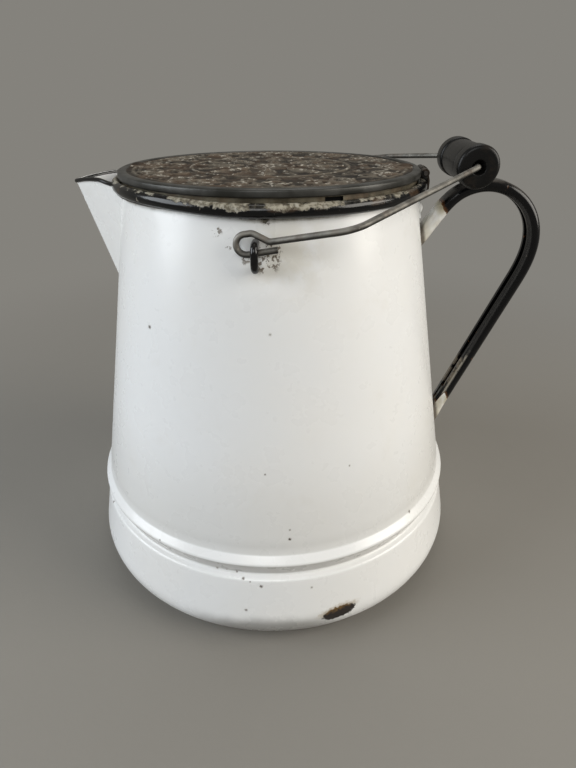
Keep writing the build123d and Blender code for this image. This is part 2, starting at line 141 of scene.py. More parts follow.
# node trees
class Value:
    # one value in a node tree, so that sums can be written as sums
    def __init__(self, tree, socket):
        self.tree = tree
        self.socket = socket

    def node(self, kind, links=None, output=0, **settings):
        return nodeValue(self.tree, kind, links, output, **settings)

    def math(self, operation, *others):
        return self.node("ShaderNodeMath", dict(enumerate((self, *others))), operation=operation)

    def __add__(self, other):
        return self.math("ADD", other)

    def __sub__(self, other):
        return self.math("SUBTRACT", other)

    def __rsub__(self, other):
        return self.node("ShaderNodeMath", {0: other, 1: self}, operation="SUBTRACT")

    def __mul__(self, other):
        return self.math("MULTIPLY", other)

    def __truediv__(self, other):
        return self.math("DIVIDE", other)

    def __rtruediv__(self, other):
        return self.node("ShaderNodeMath", {0: other, 1: self}, operation="DIVIDE")

    def most(self, other):
        return self.math("MAXIMUM", other)

    def eased(self, low, high, first=0.0, last=1.0):
        links = {"Value": self, "From Min": low, "From Max": high, "To Min": first, "To Max": last}
        return self.node("ShaderNodeMapRange", links, interpolation_type="SMOOTHSTEP")

    def axis(self, index):
        return self.node("ShaderNodeSeparateXYZ", {0: self}, index)

    def length(self):
        return self.node("ShaderNodeVectorMath", {0: self}, "Value", operation="LENGTH")

    def away(self, point):
        return self.node("ShaderNodeVectorMath", {0: self, 1: point}, "Value", operation="DISTANCE")

    def radius(self):
        # distance from the can's axis
        return self.node("ShaderNodeCombineXYZ", {0: self.axis(0), 1: self.axis(1)}).length()

    def stretched(self, *scale):
        return self.node("ShaderNodeMapping", {"Vector": self, "Scale": scale})

    def noise(self, scale, detail=3.0, rough=0.55, twist=0.0):
        links = {"Vector": self, "Scale": scale, "Detail": detail, "Roughness": rough, "Distortion": twist}
        return self.node("ShaderNodeTexNoise", links)

    def attribute(self, name):
        return self.node("ShaderNodeAttribute", output="Fac", attribute_name=name)

    def grouped(self, name, *values):
        # a shader group given this place and its other inputs in their order
        node = self.tree.nodes.new("ShaderNodeGroup")
        node.node_tree = groups[name]
        setInputs(self.tree, node, dict(enumerate((self, *values))))
        return [Value(self.tree, socket) for socket in node.outputs]

    def patches(self, scale, cut, soft):
        return self.grouped("patches", scale, cut, soft)[0]

    def specks(self, scale, size, share):
        return self.grouped("specks", scale, size, share)[0]

    def uneven(self, waveScale, wave, grainScale, grain):
        return self.grouped("surface", waveScale, wave, grainScale, grain)[0]


def setInputs(tree, node, links):
    for socket, value in links.items():
        if isinstance(value, Value):
            tree.links.new(value.socket, node.inputs[socket])
        else:
            node.inputs[socket].default_value = value


def addNode(tree, kind, links=None, **settings):
    node = tree.nodes.new(kind)
    for key, value in settings.items():
        setattr(node, key, value)
    setInputs(tree, node, links or {})
    return node


def nodeValue(tree, kind, links=None, output=0, **settings):
    return Value(tree, addNode(tree, kind, links, **settings).outputs[output])


def newTree(name, *sockets):
    tree = bpy.data.node_groups.new(name, "GeometryNodeTree")
    for label, kind in (("Geometry", "Geometry"), *sockets, ("Material", "Material")):
        tree.interface.new_socket(label, in_out="INPUT", socket_type="NodeSocket" + kind)
    tree.interface.new_socket("Geometry", in_out="OUTPUT", socket_type="NodeSocketGeometry")
    given = tree.nodes.new("NodeGroupInput").outputs
    return tree, {socket.name: Value(tree, socket) for socket in given}


def closeTree(tree, geometry, given):
    realized = nodeValue(tree, "GeometryNodeRealizeInstances", {0: geometry})
    painted = nodeValue(tree, "GeometryNodeSetMaterial", {"Geometry": realized, "Material": given["Material"]})
    addNode(tree, "NodeGroupOutput", {0: painted})
    return tree


def turnedTree():
    # an outline in the XZ plane, turned about the vertical axis
    tree, given = newTree("turnedPiece", ("Around", "Int"))
    outline = given["Geometry"]
    count = nodeValue(tree, "GeometryNodeAttributeDomainSize", {0: outline}, "Point Count")
    size = {"Size X": 1.0, "Size Y": 1.0, "Vertices X": count, "Vertices Y": given["Around"] + 1.0}
    grid = nodeValue(tree, "GeometryNodeMeshGrid", size)
    place = nodeValue(tree, "GeometryNodeInputPosition")
    along = ((place.axis(0) + 0.5) * (count - 1.0)).math("ROUND")
    angle = (place.axis(1) + 0.5) * (2 * pi)
    sample = {"Geometry": outline, "Value": place, "Index": along}
    point = nodeValue(tree, "GeometryNodeSampleIndex", sample, data_type="FLOAT_VECTOR", domain="POINT")
    radius = point.axis(0)
    corner = {0: radius * angle.math("COSINE"), 1: radius * angle.math("SINE"), 2: point.axis(2)}
    around = nodeValue(tree, "ShaderNodeCombineXYZ", corner)
    moved = nodeValue(tree, "GeometryNodeSetPosition", {"Geometry": grid, "Position": around})
    merged = nodeValue(tree, "GeometryNodeMergeByDistance", {"Geometry": moved, "Distance": 1e-6})
    return closeTree(tree, merged, given)


def wireTree():
    # a line of points, its corners rounded by the attribute called bend, made round wire
    tree, given = newTree("bentWire", ("Radius", "Float"), ("Sides", "Int"), ("Bend Steps", "Int"))
    curve = nodeValue(tree, "GeometryNodeMeshToCurve", {0: given["Geometry"]})
    bend = nodeValue(tree, "GeometryNodeInputNamedAttribute", {"Name": "bend"}, data_type="FLOAT")
    corners = {"Curve": curve, "Radius": bend, "Count": given["Bend Steps"], "Limit Radius": True}
    rounded = nodeValue(tree, "GeometryNodeFilletCurve", corners, mode="POLY")
    section = {"Resolution": given["Sides"], "Radius": given["Radius"]}
    circle = nodeValue(tree, "GeometryNodeCurvePrimitiveCircle", section)
    tube = nodeValue(tree, "GeometryNodeCurveToMesh", {"Curve": rounded, "Profile Curve": circle, "Fill Caps": True})
    return closeTree(tree, tube, given)


def strainerTree():
    # round holes through a wall, one at each point of a guide mesh
    tree, given = newTree("strainerHoles", ("Guide", "Object"), ("Radius", "Float"), ("Depth", "Float"))
    guide = nodeValue(tree, "GeometryNodeObjectInfo", {"Object": given["Guide"]}, "Geometry")
    size = {"Vertices": 20, "Radius": given["Radius"], "Depth": given["Depth"]}
    drill = nodeValue(tree, "GeometryNodeMeshCylinder", size)
    level = nodeValue(tree, "GeometryNodeTransform", {"Geometry": drill, "Rotation": (0, pi / 2, 0)})
    drills = nodeValue(tree, "GeometryNodeInstanceOnPoints", {"Points": guide, "Instance": level})
    solid = nodeValue(tree, "GeometryNodeRealizeInstances", {0: drills})
    both = {"Mesh 1": given["Geometry"], "Mesh 2": solid}
    cut = nodeValue(tree, "GeometryNodeMeshBoolean", both, operation="DIFFERENCE", solver="EXACT")
    return closeTree(tree, cut, given)


trees = {"turned": turnedTree(), "wire": wireTree(), "strainer": strainerTree()}


def grow(piece, tree, **values):
    # the tree's result becomes the piece's own plain mesh
    modifier = piece.modifiers.new(tree, "NODES")
    modifier.node_group = trees[tree]
    for item in trees[tree].interface.items_tree:
        label = item.name.replace(" ", "")
        label = label[0].lower() + label[1:]
        if item.in_out == "INPUT" and label in values:
            modifier[item.identifier] = values[label]
    bpy.context.view_layer.update()
    seen = piece.evaluated_get(bpy.context.evaluated_depsgraph_get())
    mesh = bpy.data.meshes.new_from_object(seen)
    piece.modifiers.remove(modifier)
    piece.data = mesh
    return piece


def turned(name, outline, around, material):
    # a closed outline of radius and height in millimetres
    vertices = [(r * mm, 0, z * mm) for r, z in outline]
    edges = [(i, i + 1) for i in range(len(vertices) - 1)]
    piece = grow(meshPiece(name, vertices, edges=edges), "turned", around=around, material=material)
    tidyMesh(piece)
    return piece


def wire(name, points, bends, radius, material, sides=24, bendSteps=14):
    piece = meshPiece(name, points, edges=[(i, i + 1) for i in range(len(points) - 1)])
    setAttributes(piece, bend=[0.0, *bends, 0.0])
    grow(piece, "wire", radius=radius, sides=sides, bendSteps=bendSteps, material=material)
    tidyMesh(piece)
    return piece


# shader groups and materials
def newGroup(name, outputs, **inputs):
    # a vector comes in first, then the numbers and points given
    tree = bpy.data.node_groups.new(name, "ShaderNodeTree")
    tree.interface.new_socket("Vector", in_out="INPUT", socket_type="NodeSocketVector")
    for label, value in inputs.items():
        kind = "NodeSocketVector" if isinstance(value, tuple) else "NodeSocketFloat"
        tree.interface.new_socket(label, in_out="INPUT", socket_type=kind).default_value = value
    for label in outputs:
        tree.interface.new_socket(label, in_out="OUTPUT", socket_type="NodeSocketFloat")
    given = list(tree.nodes.new("NodeGroupInput").outputs)
    return [Value(tree, socket) for socket in given[:len(inputs) + 1]]


def closeGroup(*values):
    tree = values[0].tree
    addNode(tree, "NodeGroupOutput", dict(enumerate(values)))
    return tree


def patchGroup():
    # soft uneven patches, a share of the surface set by the cut
    place, scale, cut, soft = newGroup("unevenPatches", ["Mask"], Scale=10.0, Cut=0.5, Soft=0.1)
    return closeGroup(place.noise(scale, 5.0, 0.6, 0.3).eased(cut - soft, cut + soft))


def chipGroup():
    # one chip in the enamel with a ragged edge, and the stain round it
    inputs = {"Centre": (0, 0, 0), "Size": 0.002, "Ragged": 0.5, "Halo": 1.6}
    place, centre, size, ragged, halo = newGroup("enamelChip", ["Chip", "Stain"], **inputs)
    wave = place.noise(1.3 / size, 4.0, 0.7) - 0.5
    reach = place.away(centre) / size + wave * (ragged * 3.0)
    return closeGroup(reach.eased(1.0, 0.8), reach.eased(halo, 0.9))


def speckGroup():
    # small scattered specks, one here and there
    place, scale, size, share = newGroup("scatteredSpecks", ["Mask"], Scale=100.0, Size=0.1, Share=0.1)
    cells = addNode(place.tree, "ShaderNodeTexVoronoi", {"Vector": place, "Scale": scale}).outputs
    colour = Value(place.tree, cells["Color"])
    picks = [place.node("ShaderNodeSeparateColor", {0: colour}, i) for i in (0, 1)]
    wide = size * (picks[1] + 0.4)
    dot = Value(place.tree, cells["Distance"]).eased(wide, wide * 0.6)
    return closeGroup(dot * picks[0].math("LESS_THAN", share))


def surfaceGroup():
    # height of a slightly uneven surface: a broad wave and a fine grain, both in millimetres
    inputs = {"Wave Scale": 20.0, "Wave": 0.05, "Grain Scale": 400.0, "Grain": 0.01}
    place, waveScale, wave, grainScale, grain = newGroup("unevenSurface", ["Height"], **inputs)
    return closeGroup(place.noise(waveScale, 2.0) * wave + place.noise(grainScale) * grain)


groups = {"patches": patchGroup(), "chip": chipGroup(), "specks": speckGroup(), "surface": surfaceGroup()}


def paint(red, green, blue):
    return (red, green, blue, 1.0)


def mixed(factor, first, second):
    return factor.node("ShaderNodeMix", {0: factor, 6: first, 7: second}, 2, data_type="RGBA")


def fadeTo(colour, mask, share, other):
    return mixed(mask * share, colour, other)


def newMaterial(name, **settings):
    material = bpy.data.materials.new(name)
    material.use_nodes = True
    tree = material.node_tree
    setInputs(tree, tree.nodes["Principled BSDF"], settings)
    return material, nodeValue(tree, "ShaderNodeTexCoord", output="Object")


def finishMaterial(material, colour, rough, height, strength):
    tree = material.node_tree
    bump = nodeValue(tree, "ShaderNodeBump", {"Height": height, "Strength": strength, "Distance": mm})
    setInputs(tree, tree.nodes["Principled BSDF"], {"Base Color": colour, "Roughness": rough, "Normal": bump})
    return material


def upwards(place):
    # 1 where the surface faces up, -1 where it faces down
    return place.node("ShaderNodeTexCoord", output="Normal").axis(2)


# can
can = {
    "around": 288,
    "sheet": 1.2,
    "wallTop": (96.6, 281.7),
    "taper": 0.1889,        # how much the wall widens for each mm down
    "rimCentre": (99.2, 281.7),
    "rollRadius": 3.8,
    # how far the outside of the roll is bent up or down, by azimuth
    "rollBend": [(-180, 2.0), (-160, 2.3), (-135, 2.2), (-122, 1.9), (-113, 1.2), (-106, 0.6), (-98, 0), (-40, 0),
                 (-25, 0.4), (0, 0.4), (40, 0.3), (90, 0), (140, 1.0), (180, 2.0)],
    # lower limit of the black enamel on the wall, by azimuth
    "blackEdge": [(-180, 279.0), (-108, 279.0), (-99, 277.9), (-92, 276.9), (-84, 277.3), (-76, 277.8),
                  (-60, 278.6), (0, 278.8), (180, 279.0)],
    "shoulder": (139.3, 56.0),
    "groove": (134.6, 57.9),
    "bead": (139.9, 69.4),
    "crease": (135.7, 74.7),
    "waist": 0.6,           # slight hollow above the bead, mm deep
    "waistPlace": (78.4, 2.8),
    "foot": 150.2,
    "bends": [22.0, 2.6, 1.5, 2.6, 1.4],
    "insideBead": [(133.2, 77.0), (133.0, 74.0), (132.6, 60.0), (137.6, 56.0)],
    "dented": (80, 64),     # only what is further out and higher than this can be dented
    "dent": 0.4,            # depth of the broad dents, mm
    "earDent": 1.0,         # pressed in under the front ear
    "earDentPlace": (-86, 248),
    "holeRadius": 1.8,
    "holePitch": 10.5,
    "holeRows": 4,
    "holeTop": 262.0,
}


def wallRadius(height):
    radius, top = can["wallTop"]
    return radius + can["taper"] * (top - height)


def onCan(azimuth, height):
    # a point on the outside of the can, in metres
    line = [(r, z) for r, z in outerLine if r > 115 or z > 20]
    line.sort(key=lambda p: p[1])
    radius = np.interp(height, [z for _, z in line], [r for r, _ in line])
    return (radius * cos(radians(azimuth)) * mm, radius * sin(radians(azimuth)) * mm, height * mm)


def canOutline():
    # outside from the middle of the base up to the rim, and inside back down
    sheet = can["sheet"]
    corners = [(0, 0), (can["foot"], 0), can["shoulder"], can["groove"], can["bead"], can["crease"], can["wallTop"]]
    outer = spread(roundedLine(corners, can["bends"], 6), 3.0)
    inner = [(wallRadius(z) - sheet, z) for z in (can["wallTop"][1], 84.0)] + can["insideBead"]
    inner += [(r - sheet, max(z, sheet)) for r, z in reversed(outer) if z < 50 and r > 2] + [(0, sheet)]
    return outer, spread(inner, 6.0)


outerLine, innerLine = canOutline()


def wallDent(radius, azimuth, height):
    # how far the sheet is pushed in, mm: broad unevenness, a hollow above the bead, a dent under the ear
    least, lowest = can["dented"]
    if radius <= least or height <= lowest:
        return 0.0
    around = radians(azimuth)
    spot = Vector((cos(around) * 1.6, sin(around) * 1.6, height / 75))
    wide = can["dent"] * max(0.0, noise.noise(spot) + 0.1)
    dAzimuth, dHeight = azimuth - can["earDentPlace"][0], height - can["earDentPlace"][1]
    slope = (dAzimuth / 10) ** 2 + ((dHeight + 0.45 * abs(dAzimuth)) / 5.5) ** 2
    # none of the dents next to the bead and the rim, or by the spout and the handle
    fade = smoothStep((height - 82) / 12) * smoothStep((274 - height) / 8)
    away = smoothStep((abs(abs(azimuth) - 180) - 26) / 10) * smoothStep((abs(azimuth) - 8) / 8)
    waistHeight, waistHalf = can["waistPlace"]
    waist = can["waist"] * 2.718 ** -(((height - waistHeight) / waistHalf) ** 2)
    return float(fade * away * (wide + can["earDent"] * 2.718 ** -slope) + waist)


def byAzimuth(table, azimuth):
    places, values = zip(*table)
    return float(np.interp(azimuth, places, values))


def toOutline(points, line):
    # distance of each point from the runs of an outline
    away = np.full(len(points), 1e9)
    for a, b in zip(line, line[1:]):
        a, b = np.array(a), np.array(b)
        run = b - a
        share = np.clip((points - a) @ run / max(run @ run, 1e-9), 0, 1)
        away = np.minimum(away, np.hypot(*(points - a - share[:, None] * run).T))
    return away


def makeShell(material):
    shell = turned("canShell", outerLine + innerLine, can["around"], material)
    for vertex in shell.data.vertices:
        x, y, z = vertex.co
        radius = hypot(x, y)
        dent = wallDent(radius / mm, degrees(atan2(y, x)), z / mm) * mm
        if dent:
            vertex.co.x -= x / radius * dent
            vertex.co.y -= y / radius * dent
    places = []
    for row in range(can["holeRows"]):
        height = can["holeTop"] - row * can["holePitch"] * sin(pi / 3)
        count = can["holeRows"] - row
        for i in range(count):
            side = (i - (count - 1) / 2) * can["holePitch"]
            places.append((-sqrt(wallRadius(height) ** 2 - side**2) * mm, side * mm, height * mm))
    guide = meshPiece("holeGuide", places)
    grow(shell, "strainer", guide=guide, radius=can["holeRadius"] * mm, depth=0.02, material=material)
    bpy.data.objects.remove(guide)
    tidyMesh(shell, 40)
    sections, edges = [], []
    for vertex in shell.data.vertices:
        x, y, z = vertex.co / mm
        radius, azimuth = hypot(x, y), degrees(atan2(y, x))
        sections.append((radius + wallDent(radius, azimuth, z), z))
        edges.append(z - byAzimuth(can["blackEdge"], azimuth) + 4)
    sections = np.array(sections)
    inner = (toOutline(sections, innerLine) < toOutline(sections, outerLine)).astype(float)
    edges = np.where(inner > 0.5, 0.0, np.array(edges))
    setAttributes(shell, inside=inner, blackness=edges)
    return shell


def makeRoll(material):
    centre, outside = can["rimCentre"], can["rollRadius"]
    line = arc(centre, outside, 182, -284, 30)
    back = arc(centre, outside - can["sheet"], -102, 284, 24)
    roll = turned("rimRoll", line + back + [line[0]], can["around"], material)
    crest = []
    for vertex in roll.data.vertices:
        x, y, z = vertex.co / mm
        crest.append((z - centre[1]) / outside)
        outwards = float(smoothStep((hypot(x, y) - can["wallTop"][0]) / 3.4))
        vertex.co.z += byAzimuth(can["rollBend"], degrees(atan2(y, x))) * outwards * mm
    setAttributes(roll, crest=crest)
    return roll


# spout
spout = {
    "reach": 134.0,
    "tip": 283.2,
    "lip": 286.6,
    "droop": 1.5,           # the lip sinks again where it meets the rim
    "droopFrom": -111,
    "dipEase": 6.0,
    "foot": 205.0,
    "halfWidth": 37.0,
    "nose": 3.4,
    "dip": 13.0,
    "blend": 5.0,           # soft meeting of the side with the wall
    "rows": 34,
    "hem": 0.8,
    "hemHeight": 2.4,
    "tuckFrom": 276.0,      # above this the sides turn in under the rim
    "tuck": 3.2,
}


def lipHeight(x):
    # the lip dips towards the tip and sinks a little near the rim
    slope, ease = (spout["lip"] - spout["tip"]) / spout["dip"], spout["dipEase"]
    start = -spout["reach"] + spout["dip"]
    dip = slope * ease * np.logaddexp(0, (start - x) / ease)
    return spout["lip"] - dip - spout["droop"] * float(smoothStep((x - spout["droopFrom"]) / 11))


def spoutLine(height, grow, blend):
    # half the section across the spout at one height, from the nose to the wall, mm
    share = (height - spout["foot"]) / (spout["tip"] - spout["foot"])
    footReach = wallRadius(spout["foot"])
    half = spout["halfWidth"] * share
    nose = footReach + (spout["reach"] - footReach) * share
    root = sqrt(wallRadius(min(height, can["wallTop"][1])) ** 2 - half**2)
    slant = atan2(half, nose - root)
    noseRound = max(spout["nose"] * share + grow, 0.3)
    nose += spout["nose"] * share * (1 / sin(slant) - 1) + grow / sin(slant)
    half += grow / cos(slant)
    centre = nose - noseRound / sin(slant)
    turns = [(pi / 2 - slant) * i / 6 for i in range(7)]
    line = [(-centre - noseRound * cos(t), noseRound * sin(t)) for t in turns]
    start = np.array(line[-1])
    end = np.array((-root, half))
    run = end - start
    away = float(np.linalg.norm(run))
    soft = min(blend * share + 0.3, away * 0.6)
    corner = end
    before = corner - run / away * soft
    line += [tuple(start + (before - start) * i / 12) for i in range(1, 13)]
    radius = hypot(*corner)
    turn = atan2(corner[1], -corner[0]) + soft * 0.9 / radius
    after = np.array((-cos(turn), sin(turn))) * radius
    for i in range(1, 7):
        t = i / 6
        line.append(tuple((1 - t) ** 2 * before + 2 * t * (1 - t) * corner + t * t * after))
    buried = (radius - 0.5) / radius
    line.append((after[0] * buried, after[1] * buried))
    if height > spout["tuckFrom"]:
        into = smoothStep((height - spout["tuckFrom"]) / 4) * spout["tuck"] / radius
        line[-6:] = [(x * (1 + into * i / 6), y * (1 + into * i / 6)) for i, (x, y) in enumerate(line[-6:], 1)]
    return line


def spoutSheet(grow, low, blend):
    # rows of points from the foot to the lip, both halves
    base = spoutLine(spout["lip"] - 1, grow, blend)
    tops = [lipHeight(x) for x, _ in base]
    rows = []
    for i in range(spout["rows"] + 1):
        share = i / spout["rows"]
        side = []
        for j, top in enumerate(tops):
            height = low + (top - low) * share
            x, y = spoutLine(height, grow, blend)[j]
            side.append((x * mm, y * mm, height * mm))
        rows.append([(x, -y, z) for x, y, z in reversed(side[1:])] + side)
    return rows


def makeSpout():
    outside = spoutSheet(0.0, spout["foot"] + 1.2, spout["blend"])
    inside = spoutSheet(-1.2, spout["foot"] + 15.0, 0.0)
    wide = len(outside[0])
    rows = outside + inside[::-1]
    vertices = [p for row in rows for p in row]
    faces = []
    for i in range(len(rows)):
        below = i * wide
        above = ((i + 1) % len(rows)) * wide
        faces += [(below + j, below + j + 1, above + j + 1, above + j) for j in range(wide - 1)]
    edge = len(rows)
    half = edge // 2
    for side in (0, wide - 1):
        for i in range(half - 1):
            a, b = i * wide + side, (i + 1) * wide + side
            c, d = (edge - 2 - i) * wide + side, (edge - 1 - i) * wide + side
            faces.append((a, b, c, d))
    piece = meshPiece("spoutShell", vertices, faces)
    tidyMesh(piece, 50)
    return piece


def makeHem():
    # folded lip along the spout's edge, a rounded strip standing proud of the sheet
    outside = spoutSheet(0.0, spout["foot"] + 1.2, spout["blend"])[-1]
    points = [np.array(p) / mm for p in outside[5:-5]]
    stand, high = spout["hem"], spout["hemHeight"]
    section = [(-1.6, -high), (0.2, -high), (stand, -high + 0.7), (stand, -0.9)]
    section += [(stand - 0.35, -0.2), (stand - 1.1, 0.15), (-1.0, 0.1), (-1.6, -0.5)]
    vertices = []
    for i, point in enumerate(points):
        before, after = points[max(i - 1, 0)], points[min(i + 1, len(points) - 1)]
        run = after - before
        side = np.array((-run[1], run[0], 0.0)) / hypot(run[0], run[1])
        side = -side if side @ np.array((point[0] + 90, point[1], 0)) < 0 else side
        vertices += [tuple((point + side * out + np.array((0, 0, up))) * mm) for out, up in section]
    piece = meshPiece("spoutHem", vertices, sleeveFaces(len(points), len(section)))
    tidyMesh(piece, 50)
    return piece


# strap handle
strap = {
    "rootTop": 246.5,
    "rootBottom": 105.7,
    "lift": 51.5,
    "curve": [(8.6, 12.6), (21.8, 28.5), (41.7, 34.5), (62.4, 26.7), (74.1, 10.2), (76.33, -6.5), (70.3, -30.2)],
    "depth": 7.8,
    "widthTop": 18.0,
    "widthBottom": 17.5,
    "sheet": 1.3,
    "slot": 0.32,
    "foot": 10.0,
}


def smoothCurve(points, first, last, gap):
    # cubic curve through the points with the end directions given, one point for each gap
    points = np.array(points, float)
    chord = np.linalg.norm(np.diff(points, axis=0), axis=1)
    count = len(points)
    matrix = np.zeros((count, count))
    right = np.zeros((count, points.shape[1]))
    matrix[0, 0] = matrix[-1, -1] = 1
    right[0], right[-1] = first, last
    for i in range(1, count - 1):
        a, b = chord[i - 1], chord[i]
        matrix[i, i - 1], matrix[i, i], matrix[i, i + 1] = b, 2 * (a + b), a
        right[i] = 3 * (b * (points[i] - points[i - 1]) / a + a * (points[i + 1] - points[i]) / b)
    slopes = np.linalg.solve(matrix, right)
    line = []
    for i in range(count - 1):
        steps = max(2, int(chord[i] / gap))
        for k in range(steps):
            t = k / steps
            h = chord[i]
            line.append(
                (2 * t**3 - 3 * t**2 + 1) * points[i] + (t**3 - 2 * t**2 + t) * h * slopes[i]
                + (3 * t**2 - 2 * t**3) * points[i + 1] + (t**3 - t**2) * h * slopes[i + 1]
            )
    return line + [points[-1]]


def strapLine():
    upper = np.array((wallRadius(strap["rootTop"]), strap["rootTop"]))
    lower = np.array((wallRadius(strap["rootBottom"]), strap["rootBottom"]))
    lift = np.array((cos(radians(strap["lift"])), sin(radians(strap["lift"]))))
    points = [upper - lift * strap["depth"]] + [upper + np.array(p) for p in strap["curve"]]
    fall = (lower - points[-1]) / np.linalg.norm(lower - points[-1])
    line = smoothCurve(points, lift, fall, 2.2)
    straight = spread([tuple(line[-1]), tuple(lower + fall * strap["depth"])], 2.4)
    return [np.array(p) for p in line[:-1]] + [np.array(p) for p in straight]


def strapSection(width, depth, slot):
    # curled strap: half-round sides, open along its inner face
    round_ = depth / 2
    flat = width / 2 - round_
    opening = max(slot * width / 2, 0.02)
    outer = [(opening, -depth / 2)]
    outer += [(flat + round_ * cos(radians(t)), round_ * sin(radians(t))) for t in range(-90, 91, 15)]
    outer += [(-x, y) for x, y in reversed(outer)]
    thin = round_ - strap["sheet"]
    inner = [(opening, -thin)]
    inner += [(flat + thin * cos(radians(t)), thin * sin(radians(t))) for t in range(-90, 91, 22)]
    inner += [(flat, thin)] + [(-flat, thin)] + [(-x, y) for x, y in reversed(inner)]
    return outer + inner[::-1]


def makeStrap():
    line = strapLine()
    steps = [0.0]
    for a, b in zip(line, line[1:]):
        steps.append(steps[-1] + float(np.linalg.norm(b - a)))
    length = steps[-1]
    vertices, along, across = [], [], []
    for i, (point, step) in enumerate(zip(line, steps)):
        before, after = line[max(i - 1, 0)], line[min(i + 1, len(line) - 1)]
        run = (after - before) / np.linalg.norm(after - before)
        out = np.array((-run[1], run[0]))
        share = step / length
        toWall = min(step - strap["depth"], length - strap["depth"] - step)
        closing = float(smoothStep((toWall - 4) / strap["foot"]))
        flare = 1 + 0.16 * float(smoothStep(1 - toWall / 11))
        width = (strap["widthTop"] + (strap["widthBottom"] - strap["widthTop"]) * share) * flare
        for side, height in strapSection(width, strap["depth"], strap["slot"] * closing):
            x, z = point + out * height
            radius = hypot(x, side)
            least = wallRadius(z) - 0.6
            if radius < least:
                x = sqrt(least**2 - side**2)
            vertices.append((x * mm, side * mm, z * mm))
            along.append(step)
            across.append(height / strap["depth"] + 0.5)
    piece = meshPiece("strapHandle", vertices, sleeveFaces(len(line), len(vertices) // len(line)))
    setAttributes(piece, along=along, across=across)
    tidyMesh(piece, 42)
    return piece


# bail and its grip
bail = {
    "pivot": (0.0, 0.0, 265.6),
    "turn": -13.056,
    "wire": 1.75,
    "half": [(11.2, -103.86, -5.2), (-9.6, -103.86, -3.9), (-9.6, -103.86, 6.8), (0.2, -103.86, 6.1),
             (8.3, -106.36, 0.3), (51.5, -122, 0.5), (131.18, -32.3, 0)],
    "bends": [5.25, 5.25, 5.0, 5.0, 14.0, 6.5],
    # the far arm is bent up a little on its way to the grip
    "bowed": [(122.0, 42.64, 1.1), (107.0, 59.53, 2.6), (92.0, 76.4, 4.0),
              (72.0, 98.9, 4.6), (51.5, 122.0, 3.4), (28.0, 113.45, 1.3)],
    "bow": [40.0, 60.0, 60.0, 40.0, 14.0, 30.0],
}
grip = {
    "reach": 131.178,
    "half": 33.5,
    "roll": 12.7,
    "rollWidth": 13.0,
    "waist": 11.8,
    "groove": 10.7,
    "grooveWidth": 3.0,
    "bore": 1.83,
    "mouth": 4.5,
    "mouthDepth": 7.0,
    "around": 96,
}
bailPlace = Matrix.Translation(Vector(bail["pivot"]) * mm) @ Matrix.Rotation(radians(bail["turn"]), 4, "Y")


def makeBail(material):
    near = bail["half"]
    far = [near[-1]] + [near[4]] + near[3::-1]
    far = [(x, -y, z) for x, y, z in far]
    far[1:1] = bail["bowed"]
    points = [tuple(bailPlace @ (Vector(p) * mm)) for p in near + far]
    bends = bail["bends"] + [bail["bends"][-1]] + bail["bow"] + bail["bends"][3::-1]
    return wire("bailWire", points, [b * mm for b in bends], bail["wire"] * mm, material)


def makeGrip(material):
    half, roll, waist, groove = grip["half"], grip["roll"], grip["waist"], grip["groove"]
    rollEnd = half - grip["rollWidth"]
    grooveEnd = rollEnd - grip["grooveWidth"]
    side = [(grip["bore"], half - grip["mouthDepth"]), (grip["mouth"], half), (roll, half), (roll, rollEnd)]
    side += [(groove + 0.4, rollEnd - 0.5), (groove, rollEnd - 1.2), (groove, grooveEnd + 0.5)]
    side += [(waist, grooveEnd), (waist + 0.15, grooveEnd - 6.0)]
    near = roundedLine(side, [0.8, 2.6, 2.2, 0.3, 0.5, 0.5, 0.4], 10)
    far = [(r, -y) for r, y in reversed(near)]
    outline = spread(near, 2.0) + spread(far, 2.0)
    piece = turned("turnedGrip", outline + [outline[0]], grip["around"], material)
    place = bailPlace @ Matrix.Translation((grip["reach"] * mm, 0, 0)) @ Matrix.Rotation(pi / 2, 4, "X")
    piece.data.transform(place)
    tidyMesh(piece, 40)
    return piece


# lid
lid = {
    "radius": 98.5,
    "under": 287.7,
    "top": 292.1,
    "border": 6.0,
    "field": 0.9,
    "around": 560,
    "rings": 116,
    "scrolls": 12,
    "leaves": 8,
    "beads": 84,
    "notch": 97.1,
    "notchHalf": 12.5,
    "rivets": 89.5,
    "pin": (100.6, 289.2),  # the knuckle in the middle of the hinge
    "knuckle": 3.0,
    "pinBore": 1.48,
    "knuckleWidth": 7.0,
    "neck": (96.4, 98.4),   # the part that joins the knuckle to the plate
}


def ridge(distance, half):
    # rounded ridge round a line
    return np.sqrt(np.clip(1 - (distance / half) ** 2, 0, 1))


def toLine(x, y, line):
    # distance of each point from a run of points
    away = np.full(x.shape, 1e9)
    for a, b in line:
        away = np.minimum(away, (x - a) ** 2 + (y - b) ** 2)
    return np.sqrt(away)


def scrollLine(start, turns, first, last, count, mirror=1):
    # a spiral that tightens from its first to its last radius
    line = []
    for i in range(count):
        t = i / (count - 1)
        radius = first + (last - first) * t
        angle = turns * 2 * pi * t
        line.append((start[0] + radius * cos(angle), start[1] + mirror * radius * sin(angle)))
    return line


